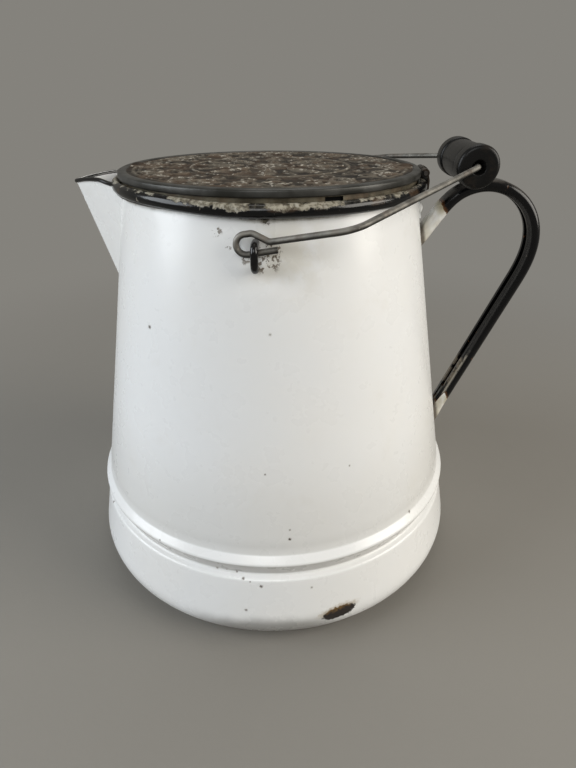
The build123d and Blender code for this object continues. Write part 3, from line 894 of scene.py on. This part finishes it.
def lidRelief(r, t):
    # height of the ornament above the field, mm
    height = np.zeros(r.shape)
    sector = 2 * pi / lid["scrolls"]
    local = (t + sector / 2) % sector - sector / 2
    x, y = r * np.cos(local) - 72, r * np.sin(local)
    for mirror in (1, -1):
        curl = scrollLine((5.0, 9.0 * mirror), 1.35, 8.6, 1.4, 46, -mirror)
        height = np.maximum(height, 1.15 * ridge(toLine(x, y, curl), 1.9))
        tail = [(13.6 - 1.3 * k, (9.0 + 0.95 * k) * mirror) for k in np.linspace(0, 9, 16)]
        height = np.maximum(height, 0.9 * ridge(toLine(x, y, tail), 1.6))
        inner = scrollLine((-9.5, 6.2 * mirror), 1.1, 5.4, 1.0, 30, mirror)
        height = np.maximum(height, 0.95 * ridge(toLine(x, y, inner), 1.4))
    palm = np.hypot((x - 9) / 6.5, y / 3.0)
    height = np.maximum(height, 1.3 * ridge(palm, 1.0) * (0.8 + 0.2 * np.cos(y * 2.4)))
    for ring, half, tall in ((88.6, 1.3, 0.8), (52.0, 1.6, 1.0), (56.4, 0.9, 0.5), (15.5, 1.2, 0.8)):
        height = np.maximum(height, tall * ridge(r - ring, half))
    turn = 2 * pi / lid["beads"]
    bead = (t + turn / 2) % turn - turn / 2
    height = np.maximum(height, 0.9 * ridge(np.hypot(r - 84.6, bead * 84.6), 1.9))
    petal = 2 * pi / lid["leaves"]
    for shift, reach, middle, wide, tall in ((0.0, 15.5, 33.0, 7.6, 1.2), (petal / 2, 11.0, 38.0, 4.4, 0.9)):
        leaf = (t + shift + petal / 2) % petal - petal / 2
        u, v = r * np.cos(leaf) - middle, r * np.sin(leaf)
        edge = wide * np.clip(1 - (u / reach) ** 2, 0, 1) ** 0.65
        body = np.where(edge > 0.1, ridge(v / np.maximum(edge, 0.1), 1.0), 0)
        veins = 0.78 + 0.22 * np.cos((np.abs(v) + u * 0.55) * 2.1)
        rib = 0.35 * ridge(v, 0.8)
        height = np.maximum(height, tall * body * veins + rib * (body > 0))
    rosette = 1.6 * ridge(r, 12.5) * (0.86 + 0.14 * np.cos(t * 10))
    height = np.maximum(height, rosette)
    height = np.maximum(height, 1.9 * ridge(r, 4.6))
    for side in (1, -1):
        # a raised ring round each rivet
        away = np.hypot(r * np.cos(t) - side * lid["rivets"], r * np.sin(t))
        height = np.where(away < 8.6, 0.15 + 1.1 * ridge(away - 7.0, 1.5), height)
    return height


def knuckleParts(first):
    # short tube round the hinge pin and the neck that joins it to the lid, numbered from the first vertex
    x, z = lid["pin"]
    half, count = lid["knuckleWidth"] / 2, 32
    vertices, faces = [], []
    outside, bore = lid["knuckle"], lid["pinBore"]
    for radius, side in ((outside, -half), (outside, half), (bore, half), (bore, -half)):
        turns = [2 * pi * i / count for i in range(count)]
        vertices += [(x + radius * cos(t), side, z + radius * sin(t)) for t in turns]
    for ring in range(4):
        a, b = first + ring * count, first + (ring + 1) % 4 * count
        faces += [(a + i, a + (i + 1) % count, b + (i + 1) % count, b + i) for i in range(count)]
    start = first + len(vertices)
    low, high = lid["under"] + 0.05, lid["under"] + lid["knuckle"]
    inner, outer = lid["neck"]
    section = ((inner, -half), (outer, -half), (outer, half), (inner, half))
    vertices += [(*corner, z) for z in (low, high) for corner in section]
    faces += [(start, start + 1, start + 2, start + 3), (start + 4, start + 5, start + 6, start + 7)]
    faces += [(start + i, start + (i + 1) % 4, start + 4 + (i + 1) % 4, start + 4 + i) for i in range(4)]
    return vertices, faces


def makeLid():
    around, rings, full, under = lid["around"], lid["rings"], lid["radius"], lid["under"]
    inside = np.linspace(0, full - lid["border"] - 0.2, rings - 12)
    edge = np.array([0.0, 0.35, 0.9, 2.6, 4.6, 6.0, 6.6, 7.0, 7.3, 7.5, 7.7]) + full - lid["border"] - 0.2
    radii = np.minimum(np.concatenate([inside[1:], edge[1:]]), full)
    t = np.arange(around) * 2 * pi / around
    gridR, gridT = np.meshgrid(radii, t, indexing="ij")
    fieldTop = lid["top"] - lid["field"]
    border = smoothStep((gridR - (full - lid["border"])) / 0.7)
    fall = np.clip((gridR - (full - 1.1)) / 1.1, 0, 1)
    relief = lidRelief(gridR, gridT)
    height = fieldTop + relief * (1 - border) + lid["field"] * border - 1.3 * (1 - np.sqrt(1 - fall**2))
    x, y = gridR * np.cos(gridT), gridR * np.sin(gridT)
    drop = [(full, lid["top"] - 2.4), (full, under + 1.0), (full - 0.3, under + 0.3)]
    drop += [(radius, under) for radius in (full - 1.0, 85.0, 60.0, 30.0, 8.0)]
    vertices = [(0, 0, fieldTop + 1.9)]
    raised, smooth = [1.0], [0.0]
    for i in range(len(radii)):
        vertices += list(zip(x[i], y[i], height[i]))
        raised += list(np.clip(relief[i] / 1.3, 0, 1))
        smooth += list(border[i])
    for radius, z in drop:
        vertices += [(radius * cos(a), radius * sin(a), z) for a in t]
        raised += [0.4] * around
        smooth += [1.0 if radius > 90 else 0.0] * around
    vertices.append((0, 0, under))
    raised.append(0.4)
    smooth.append(0.0)
    total = len(radii) + len(drop)
    faces = [(0, 1 + j, 1 + (j + 1) % around) for j in range(around)]
    for i in range(total - 1):
        a, b = 1 + i * around, 1 + (i + 1) * around
        faces += [(a + j, b + j, b + (j + 1) % around, a + (j + 1) % around) for j in range(around)]
    last = 1 + (total - 1) * around
    faces += [(last + j, len(vertices) - 1, last + (j + 1) % around) for j in range(around)]
    placed = []
    for vx, vy, vz in vertices:
        if vx > lid["notch"] and abs(vy) <= lid["notchHalf"]:
            vx = lid["notch"]
        placed.append((vx, vy, vz))
    extra, extraFaces = knuckleParts(len(placed))
    placed += extra
    raised += [0.2] * len(extra)
    smooth += [0.3] * len(extra)
    piece = meshPiece("castLid", [(a * mm, b * mm, c * mm) for a, b, c in placed], faces + extraFaces)
    setAttributes(piece, raised=raised, smoothEdge=smooth)
    tidyMesh(piece, 60, 1e-7)
    return piece


# enamel
enamel = {
    "white": paint(0.86, 0.872, 0.872),
    "warm": paint(0.86, 0.845, 0.80),
    "stain": paint(0.50, 0.44, 0.32),
    "olive": paint(0.17, 0.15, 0.10),
    "mark": paint(0.27, 0.24, 0.20),
    "chip": paint(0.018, 0.015, 0.013),
    "rust": paint(0.13, 0.058, 0.022),
    "black": paint(0.0035, 0.0035, 0.004),
    "dust": paint(0.075, 0.066, 0.056),
    "gloss": 0.24,
}
# chips: azimuth, height, size in mm, raggedness, reach of the stain, and how dark, from 0 to 1
wallChips = [
    (-81.5, 86.6, 0.8, 0.8, 1.8, 0.9), (-94.3, 56.3, 0.8, 0.8, 1.9, 0.6), (-96.4, 58.6, 0.7, 0.9, 1.9, 0.45),
    (-92.4, 54.8, 0.5, 0.9, 1.9, 0.5), (-89.4, 51.8, 0.95, 1.0, 1.8, 0.7), (-93.5, 32.5, 0.9, 0.9, 2.0, 0.35),
    (-127.8, 211.1, 1.0, 1.0, 1.9, 0.7), (-86.0, 217.0, 0.7, 0.8, 2.2, 0.2), (-102.1, 58.8, 0.8, 0.9, 2.0, 0.25),
    (-99.3, 59.2, 0.55, 0.9, 2.0, 0.35), (-63.4, 130.9, 0.55, 0.7, 2.0, 0.3), (-88.0, 132.0, 0.5, 0.8, 2.0, 0.6),
    (-41.2, 75.0, 0.9, 0.9, 2.0, 0.5), (-75.8, 48.6, 0.7, 1.0, 2.0, 0.2), (-150.2, 55.8, 0.9, 0.9, 1.8, 0.5),
    (-81.4, 93.3, 0.6, 0.8, 1.8, 0.3), (-119.5, 70.3, 0.6, 0.8, 2.0, 0.3), (-101.0, 270.6, 1.0, 1.2, 1.7, 0.3),
    (-93.4, 255.4, 1.0, 1.5, 1.6, 0.35),
    (-86.9, 277.0, 2.1, 0.8, 1.5, 0.95), (104.0, 58.0, 1.6, 0.9, 1.9, 0.9), (61.0, 188.0, 1.1, 0.8, 1.9, 0.6),
    (137.0, 30.0, 2.4, 1.0, 1.7, 0.9), (82.0, 121.0, 0.9, 0.7, 1.9, 0.5), (92.6, 251.9, 2.0, 1.0, 1.9, 0.7),
    (87.3, 256.8, 1.6, 1.0, 2.0, 0.8), (1.5, 116.5, 1.6, 1.0, 1.7, 0.8), (-4.8, 252.2, 1.2, 1.0, 1.7, 0.7),
]
rustPatch = {"from": (-73.4, 22.0), "to": (-63.4, 25.6), "width": 4.6, "depth": 9.0}
# scratches round the front ear: azimuth, height and reach in mm
earScratches = [(-86.8, 257.0, 9.5), (-84.6, 262.6, 6.0), (-97.8, 264.5, 4.0),
                (-102.5, 270.5, 3.5), (-92.6, 258.5, 4.0)]
# heights in metres between which each kind of dirt, the greyer band above the bead and each painted shade comes or
# goes, and where the front of the base is
dirtAndShade = {
    "scuff": (0.010, 0.001),
    "groove": ((0.0574, 0.0600), (0.0698, 0.0680)),
    "film": ((0.0742, 0.0760), (0.150, 0.078)),
    "edge": (0.014, 0.007),
    "frontEdge": (0.0295, 0.0185),
    "front": (0.006, -0.145, 0.0),
    "tea": (0.24, 0.02),
}
# heights in metres where the hinge strap's black gives way to white, and where the fringe between them lies
hingeEdge = {"white": (0.2772, 0.2768), "fringe": (0.2790, 0.2772)}
# radii in metres where the lid's collar starts to hide the rim, and where its own inside ends
collarLimits = {"rim": (0.0963, 0.0968), "inside": (0.09645, 0.09625)}


def between(share, first, last):
    return tuple(a + (b - a) * share for a, b in zip(first, last))


def chipped(place, colour, azimuth, height, size, ragged, halo, dark):
    chip, stain = place.grouped("chip", onCan(azimuth, height), size * mm, ragged, halo)
    colour = fadeTo(colour, stain, 0.2 + 0.25 * dark, between(dark, enamel["mark"], enamel["rust"]))
    return fadeTo(colour, chip, 0.6 + 0.4 * dark, between(dark, enamel["mark"], enamel["chip"])), chip


def rusted(place, colour):
    # one long chip that has rusted, dark in the middle and brown along its upper edge
    first, last = Vector(onCan(*rustPatch["from"])), Vector(onCan(*rustPatch["to"]))
    centre = (first + last) / 2
    right = (last - first).normalized()
    out = (Vector((centre.x, centre.y, 0)).normalized() - Vector((0, 0, 0.75))).normalized()
    up = out.cross(right).normalized()
    out = right.cross(up)
    turn = Matrix((right, up, out)).transposed().to_euler()
    size = ((last - first).length / 2, rustPatch["width"] * mm, rustPatch["depth"] * mm)
    settings = {"Vector": place, "Location": tuple(centre), "Rotation": tuple(turn), "Scale": size}
    local = place.node("ShaderNodeMapping", settings, vector_type="TEXTURE")
    wave = place.noise(420.0, 4.0, 0.65) - 0.5
    reach = local.length() + wave * 0.9
    patch = reach.eased(1.0, 0.86)
    upper = local.axis(1) + wave * 1.4
    core = mixed(upper.eased(0.25, 0.75), paint(0.014, 0.009, 0.006), paint(0.15, 0.085, 0.025))
    halo = reach.eased(1.45, 0.95) * upper.eased(-0.3, 0.5)
    colour = fadeTo(colour, halo, 0.55, paint(0.34, 0.25, 0.12))
    return mixed(patch, colour, core), patch


def whiteEnamel():
    material, place = newMaterial("whiteEnamel", **{"Coat Weight": 0.15, "Coat Roughness": 0.12, "IOR": 1.5})
    broad = place.patches(7.0, 0.52, 0.2)
    colour = fadeTo(enamel["white"], broad, 0.5, enamel["warm"])
    cloud = place.patches(30.0, 0.66, 0.07)
    colour = fadeTo(colour, cloud, 0.08, enamel["stain"])
    high = place.axis(2)
    # the base is scuffed where it has stood
    scuff = high.eased(*dirtAndShade["scuff"]) * place.patches(45.0, 0.45, 0.12)
    colour = fadeTo(colour, scuff, 0.75, enamel["rust"])
    # painted shade in the groove under the bead, a greyer band above the bead, and a dark lower edge that is painted
    # shade and dirt
    groove, film = (high.eased(*first) * high.eased(*last) for first, last in (dirtAndShade["groove"], dirtAndShade["film"]))
    # painted shade: the groove under the bead darkened to grey
    colour = fadeTo(colour, groove, 0.72, paint(0.38, 0.36, 0.33))
    # a greyer band above the bead, fading out upwards
    colour = fadeTo(colour, film, 0.32, paint(0.52, 0.51, 0.47))
    # painted shade and dirt: darker towards the bottom edge of the base, most at its front
    low = high + (place.noise(60.0, 4.0) - 0.5) * 0.007
    lowFrontShadeAndDirt = low.eased(*dirtAndShade["frontEdge"]) * place.away(dirtAndShade["front"]).eased(0.066, 0.026)
    low = (lowFrontShadeAndDirt * 0.75).most(low.eased(*dirtAndShade["edge"]))
    colour = fadeTo(colour, low, 0.85, paint(0.14, 0.13, 0.115))
    # yellowed round the front ear, and tea-brown low inside
    nearEar = place.away(onCan(-80.5, 259))
    yellow = nearEar.eased(0.034, 0.006) * place.noise(55.0, 4.0).eased(0.36, 0.62)
    colour = fadeTo(colour, yellow, 0.4, paint(0.6, 0.55, 0.42))
    flecks = place.noise(420.0, 4.0, 0.65).eased(0.535, 0.56)
    for azimuth, height, reach in earScratches:
        scratch = flecks * place.away(onCan(azimuth, height)).eased(reach * mm, reach * mm * 0.6)
        colour = fadeTo(colour, scratch, 0.85, paint(0.12, 0.088, 0.055))
    tea = place.stretched(1, 1, 0.3).patches(28.0, 0.5, 0.2) * 0.6 + 0.25
    tea = place.attribute("inside") * high.eased(*dirtAndShade["tea"], 0.25, 0.75) * tea
    colour = fadeTo(colour, tea, 0.8, enamel["stain"])
    specks = place.specks(40.0, 0.03, 0.07)
    colour = fadeTo(colour, specks, 0.35, enamel["mark"])
    tiny = place.specks(60.0, 0.035, 0.025)
    colour = fadeTo(colour, tiny, 0.8, enamel["chip"])
    chips = tiny
    for values in wallChips:
        colour, chip = chipped(place, colour, *values)
        chips = chips.most(chip)
    colour, patch = rusted(place, colour)
    chips = chips.most(patch)
    # black from the rim runs down a little over the white, with a brown fringe that in patches also stands in for
    # painted shade under the rim roll
    black = place.attribute("blackness")
    wave = place.noise(260.0, 4.0, 0.65) - 0.5
    ragged = black + wave * 2.2
    fringe = ragged.eased(1.6, 4.0) * place.noise(38.0).eased(0.3, 0.55)
    colour = fadeTo(colour, fringe, 0.75, enamel["olive"])
    colour = mixed(ragged.eased(3.9, 4.3), colour, enamel["black"])
    rough = place.noise(60.0) * 0.08 + enamel["gloss"] + chips * 0.5
    height = place.uneven(38.0, 0.1, 260.0, 0.012) - chips * 0.25
    return finishMaterial(material, colour, rough, height, 0.6)


def blackCoat(place, dusty=0.75):
    # deep black, worn brown in spots, with a pale film where it faces up that is dust and partly a painted sheen of
    # the light from above
    wear = place.patches(120.0, 0.69, 0.03)
    colour = fadeTo(enamel["black"], wear, 0.6, enamel["rust"])
    # paler where the surface faces up: dust, and partly a painted sheen
    film = upwards(place).eased(0.45, 0.95) * place.noise(90.0, 4.0).eased(0.36, 0.62)
    colour = fadeTo(colour, film, dusty, enamel["dust"])
    specks = place.specks(170.0, 0.12, 0.08)
    colour = fadeTo(colour, specks, 0.5, enamel["dust"])
    rough = place.noise(70.0) * 0.14 + 0.09 + film * 0.38
    return colour, rough, place.uneven(110.0, 0.1, 700.0, 0.02) - wear * 0.1


def dirtyWhite(place, amount):
    cloud = place.noise(75.0, 4.0).eased(0.42, 0.66)
    colour = mixed(cloud * amount, enamel["white"], enamel["stain"])
    specks = place.specks(330.0, 0.2, 0.15)
    return fadeTo(colour, specks, 0.5, enamel["mark"])


def blackEnamel():
    material, place = newMaterial("blackEnamel", **{"Specular IOR Level": 0.4})
    colour, rough, height = blackCoat(place, 0.2)
    return finishMaterial(material, colour, rough * 0.6, height, 0.5)


# where the strap's black gives way to white, mm along it
strapMarks = {
    "upper": 29.5,
    "upperSlant": 3.8,
    "lower": 245.5,
    "lowerSlant": 6.5,
    "lowerInner": 13.0,
    "ragged": 5.0,
    "edgeLine": (206.0, 248.0),
    "rubbed": (215.0, 240.0),
    # distances in metres from the middle of the strap, and from the wall
    "innerHalf": (0.0084, 0.0064),
    "edge": (0.0066, 0.0078),
    "wallStain": (0.012, 0.004),
    "joint": (0.0042, 0.0018),
}


def strapEnamel():
    material, place = newMaterial("strapEnamel", **{"Specular IOR Level": 0.3})
    colour, rough, height = blackCoat(place)
    along = place.attribute("along")
    across = place.attribute("across")
    side = place.axis(1).math("ABSOLUTE")
    wave = (place.noise(170.0, 5.0, 0.7) - 0.5) * strapMarks["ragged"]
    border = along + wave
    upperEnd = across * strapMarks["upperSlant"] + strapMarks["upper"]
    innerFace = across.eased(0.45, 0.0) * side.eased(*strapMarks["innerHalf"])
    lowerEnd = across * strapMarks["lowerSlant"] + strapMarks["lower"]
    lowerEnd = lowerEnd + innerFace * strapMarks["lowerInner"]
    into = (upperEnd - border).most(border - lowerEnd)
    # a pale line on the curled edge near the lower root, rubbed enamel and partly a painted highlight
    onEdge = side.eased(*strapMarks["edge"]) * across.eased(0.3, 0.12)
    start, end = strapMarks["edgeLine"]
    line = onEdge * (border.eased(start, start + 9) * border.eased(end + 4, end))
    colour = fadeTo(colour, line * place.noise(240.0).eased(0.32, 0.5), 0.85, paint(0.42, 0.39, 0.33))
    start, end = strapMarks["rubbed"]
    rubbed = innerFace * (border.eased(start, start + 4) * border.eased(end + 4, end))
    colour = fadeTo(colour, rubbed * place.noise(150.0, 4.0).eased(0.36, 0.5), 0.8, paint(0.2, 0.17, 0.13))
    colour = fadeTo(colour, into.eased(-2.6, 0.1), 0.85, enamel["rust"])
    # how far the spot is from the wall
    off = place.radius() - (place.axis(2) * -can["taper"] + wallRadius(0) * mm)
    white = into.eased(0.0, 0.5)
    khaki = (into.eased(9.0, 0.5) * across.eased(0.1, 0.8)).most(off.eased(*strapMarks["wallStain"], 0.0, 0.6))
    pale = fadeTo(dirtyWhite(place, 0.45), khaki, 0.75, paint(0.36, 0.31, 0.16))
    colour = mixed(white, colour, pale)
    rough = rough + white * 0.08
    # dark where the roots meet the wall
    joint = (off + wave * 0.0005).eased(*strapMarks["joint"])
    colour = fadeTo(colour, joint, 0.8, paint(0.05, 0.032, 0.02))
    return finishMaterial(material, colour, rough, height, 0.5)


def hingeEnamel():
    # black on the curl and past the rim, white down the wall
    material, place = newMaterial("hingeEnamel", **{"Specular IOR Level": 0.35})
    colour, rough, height = blackCoat(place)
    rust = place.patches(85.0, 0.52, 0.07)
    colour = fadeTo(colour, rust, 0.6, paint(0.07, 0.045, 0.028))
    high = place.axis(2)
    wave = (place.noise(220.0, 4.0, 0.65) - 0.5) * 0.004
    white, fringe = ((high + wave).eased(*hingeEdge[part]) for part in ("white", "fringe"))
    colour = fadeTo(colour, fringe, 0.7, enamel["rust"])
    colour = mixed(white, colour, dirtyWhite(place, 0.3))
    return finishMaterial(material, colour, rough + 0.06, height, 0.5)


def rimEnamel():
    # black rim, its top worn to tan and pale patches
    material, place = newMaterial("wornRimEnamel", **{"Specular IOR Level": 0.35})
    crest = place.attribute("crest")
    x = place.axis(0)
    wave = place.noise(210.0, 5.0, 0.75) - 0.5
    broad = place.noise(30.0, 2.0) - 0.5
    # worn less towards the spout and the hinge
    less = x.eased(-0.02, -0.06).most(x.eased(0.035, 0.06))
    worn = (crest + (wave * 2.2 + broad * 1.3) - less * 0.55).eased(0.26, 0.46)
    # flaked back to black in streaks, and never worn under the lid's collar
    flake = place.stretched(1, 1, 0.4).patches(105.0, 0.54, 0.05)
    worn = worn * (1.0 - flake * 0.9) * place.radius().eased(*collarLimits["rim"])
    fine = place.noise(330.0, 4.0, 0.7)
    tanned = mixed(fine.eased(0.38, 0.6), paint(0.11, 0.092, 0.06), paint(0.38, 0.35, 0.275))
    brown = place.patches(45.0, 0.58, 0.04)
    colour = fadeTo(enamel["black"], brown * crest.eased(-0.2, 0.4), 0.8, paint(0.07, 0.045, 0.028))
    chips = place.patches(190.0, 0.7, 0.02)
    colour = fadeTo(colour, chips, 0.8, paint(0.26, 0.23, 0.18))
    colour = fadeTo(colour, worn, 0.92, tanned)
    pale = worn * place.patches(120.0, 0.6, 0.03)
    colour = fadeTo(colour, pale, 0.6, paint(0.42, 0.4, 0.34))
    rough = worn.most(chips) * 0.45 + 0.16
    surface = place.uneven(90.0, 0.2, 500.0, 0.04)
    return finishMaterial(material, colour, rough, surface - worn * 0.12, 0.7)


def metalFinish(name, dark, light, metal, rough, grain, rust=0.0, hollow=False, below=0.0):
    # aged metal with cloudy tarnish; on the wire painted shade where it faces down, and on the collar painted shade
    # inside
    material, place = newMaterial(name, **{"Metallic": metal, "Specular IOR Level": 0.35})
    cloud = place.noise(70.0, 5.0, 0.65).eased(0.35, 0.65)
    colour = mixed(cloud, dark, light)
    brown = place.patches(95.0, 0.56, 0.08)
    colour = fadeTo(colour, brown, rust, enamel["rust"])
    specks = place.specks(230.0, 0.16, 0.1)
    colour = fadeTo(colour, specks, 0.4, paint(0.38, 0.35, 0.3))
    # painted shade: darker where the surface faces down, used on the wire
    if below:
        colour = fadeTo(colour, upwards(place).eased(0.15, -0.45), below, paint(0.01, 0.009, 0.008))
    roughness = place.noise(120.0, 4.0) * 0.3 + (rough - 0.15)
    if hollow:
        # painted shade: the collar's inside made near black
        hidden = place.radius().eased(*collarLimits["inside"])
        colour = mixed(hidden, colour, paint(0.001, 0.001, 0.001))
        roughness = roughness.most(hidden)
    surface = place.uneven(160.0, 0.12, 900.0, grain)
    return finishMaterial(material, colour, roughness, surface, 0.8)


def castMetal():
    # grime in the hollows, rubbed light on the relief, painted glints as bright specks on the raised relief, a smooth
    # dark border
    material, place = newMaterial("castLidMetal", **{"Metallic": 0.35, "Specular IOR Level": 0.3})
    high = place.attribute("raised")
    smooth = place.attribute("smoothEdge")
    cloud = place.noise(95.0, 6.0, 0.7).eased(0.34, 0.66)
    share = cloud * 0.4 + high * 0.6
    colour = mixed(share.eased(0.1, 0.9), paint(0.016, 0.0125, 0.009), paint(0.155, 0.132, 0.1))
    brown = place.patches(60.0, 0.54, 0.1)
    colour = fadeTo(colour, brown, 0.45, paint(0.1, 0.058, 0.032))
    # painted glints: bright specks on the raised relief
    light = place.noise(300.0, 3.0, 0.6).eased(0.55, 0.63) * high.eased(0.3, 0.75)
    colour = fadeTo(colour, light, 0.75, paint(0.5, 0.465, 0.4))
    cloud = place.noise(45.0, 4.0).eased(0.35, 0.65)
    colour = mixed(smooth, colour, mixed(cloud, paint(0.028, 0.0275, 0.0235), paint(0.068, 0.067, 0.062)))
    rough = place.noise(120.0, 4.0) * 0.25 + 0.48 - smooth * 0.24
    surface = place.uneven(160.0, 0.12, 700.0, 0.07)
    return finishMaterial(material, colour, rough, surface, 0.8)


def paintedWood():
    material, place = newMaterial("paintedWood", **{"Specular IOR Level": 0.2})
    lines = place.stretched(60, 900, 60).noise(1.0)
    rubbed = place.patches(80.0, 0.62, 0.06)
    colour = mixed(rubbed * 0.5, paint(0.006, 0.0058, 0.0055), paint(0.024, 0.018, 0.013))
    specks = place.specks(260.0, 0.12, 0.08)
    colour = fadeTo(colour, specks, 0.4, enamel["dust"])
    rough = lines * 0.18 + 0.24
    height = place.uneven(80.0, 0.15, 600.0, 0.02) + lines * 0.06
    return finishMaterial(material, colour, rough, height, 0.7)


finish = {
    "white": whiteEnamel(),
    "black": blackEnamel(),
    "strap": strapEnamel(),
    "hinge": hingeEnamel(),
    "rim": rimEnamel(),
    "cast": castMetal(),
    "wire": metalFinish(
        "dullBailWire", paint(0.075, 0.071, 0.062), paint(0.23, 0.22, 0.195), 0.35, 0.48, 0.02, 0.2, below=0.85,
    ),
    "collar": metalFinish(
        "tarnishedCollar", paint(0.055, 0.046, 0.03), paint(0.17, 0.15, 0.105), 0.3, 0.48, 0.03, 0.25, hollow=True,
    ),
    "iron": metalFinish("darkIron", paint(0.03, 0.027, 0.024), paint(0.12, 0.11, 0.10), 0.6, 0.45, 0.03, 0.3),
    "wood": paintedWood(),
}
print("finishes:", len(finish))

dress(makeShell(finish["white"]), "white", "can", "enamel_white", "body_wall", "bottom_pan")
dress(makeRoll(finish["rim"]), "rim", "can", "enamel_black", "body_wall")
dress(makeSpout(), "white", "can", "enamel_white", "spout")
dress(makeHem(), "black", "can", "enamel_black", "spout")
dress(makeStrap(), "strap", "can", "enamel_black", "handle_strap")
dress(makeBail(finish["wire"]), "wire", "bail", "bare_steel", "bail_wire")
dress(makeGrip(finish["wood"]), "wood", "grip", "grip_wood", "bail_grip")
dress(makeLid(), "cast", "lid", "cast_lid", "lid_plate")

kept = {
    "rim_wire": "iron", "handle_rivets": "white", "ear_front": "black", "ear_back": "black", "hinge_bracket": "hinge",
    "hinge_rivets": "white", "hinge_pin": "iron", "lid_collar": "collar", "lid_rivets": "cast",
}
for node, look in kept.items():
    cover(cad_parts[node], look)
print("CAD nodes kept:", len(kept))

# camera, lamps and floor
camera = bpy.data.objects.new("camera", bpy.data.cameras.new("camera"))
camera.data.sensor_fit = "VERTICAL"
camera.data.sensor_height = 36
camera.data.lens = 24.98
camera.data.clip_start = 0.01
camera.location = (0.0325, -0.3796, 0.3363)
facing = Vector((-0.0484, 0.8737, -0.4840)).to_track_quat("-Z", "Y").to_matrix()
camera.rotation_euler = (facing @ Matrix.Rotation(radians(-0.099), 3, "Z")).to_euler()
bpy.context.scene.collection.objects.link(camera)
bpy.context.scene.camera = camera


def softLamp(name, place, aim, size, watts, colour):
    lamp = bpy.data.lights.new(name, "AREA")
    lamp.shape = "DISK"
    lamp.size = size
    lamp.energy = watts
    lamp.color = colour
    body = bpy.data.objects.new(name, lamp)
    body.location = place
    body.rotation_euler = (Vector(aim) - Vector(place)).to_track_quat("-Z", "Y").to_euler()
    bpy.context.scene.collection.objects.link(body)


studio = {
    "backdrop": paint(0.232, 0.223, 0.202),
    "ambient": 0.11,
    "fadeFrom": 0.24,
    "fadeTo": 0.85,
}
softLamp("windowLamp", (-1.5, -0.5, 0.82), (0, 0, 0.17), 1.3, 22, (0.90, 0.95, 1.0))
softLamp("roomLamp", (1.53, -0.42, 0.86), (0, 0, 0.17), 1.3, 26, (1.0, 0.955, 0.88))
softLamp("frontLamp", (-0.1, -1.5, 1.2), (0, 0, 0.15), 0.8, 6.6, (0.98, 0.99, 1.0))
softLamp("ceilingLamp", (0.1, 0.55, 1.7), (0, 0, 0.2), 1.0, 5.3, (1.0, 0.99, 0.97))


def seenByCamera(tree):
    # 1 where the camera looks, straight or by way of a shiny or clear surface
    path = addNode(tree, "ShaderNodeLightPath").outputs
    straight, shiny, clear = (Value(tree, path["Is " + ray + " Ray"]) for ray in ("Camera", "Glossy", "Transmission"))
    return straight.most(shiny.most(clear))


world = bpy.context.scene.world or bpy.data.worlds.new("studio")
bpy.context.scene.world = world
world.use_nodes = True
sky = world.node_tree
sky.nodes.clear()
around = nodeValue(sky, "ShaderNodeBackground", {"Color": paint(0.98, 0.99, 1.0), "Strength": studio["ambient"]})
behind = nodeValue(sky, "ShaderNodeBackground", {"Color": studio["backdrop"], "Strength": 1.0})
blend = nodeValue(sky, "ShaderNodeMixShader", {0: seenByCamera(sky), 1: around, 2: behind})
addNode(sky, "ShaderNodeOutputWorld", {0: blend})

# floor that keeps the shadow near the can and fades into the backdrop far away
floor = meshPiece("floor", [(-9, -9, 0), (9, -9, 0), (9, 9, 0), (-9, 9, 0)], [(0, 1, 2, 3)])
floorPaint, place = newMaterial("paleFloor")
tint = mixed(place.noise(3.0), paint(0.215, 0.203, 0.180), paint(0.235, 0.222, 0.197))
finishMaterial(floorPaint, tint, place.noise(40.0) * 0.1 + 0.7, place.noise(300.0), 0.1)
fade = place.length().eased(studio["fadeFrom"], studio["fadeTo"]) * seenByCamera(place.tree)
glow = place.node("ShaderNodeEmission", {"Color": studio["backdrop"], "Strength": 1.0})
matt = Value(place.tree, place.tree.nodes["Principled BSDF"].outputs[0])
blend = place.node("ShaderNodeMixShader", {0: fade, 1: matt, 2: glow})
setInputs(place.tree, place.tree.nodes["Material Output"], {"Surface": blend})
floor.data.materials.append(floorPaint)
bpy.context.scene.view_settings.view_transform = "Standard"
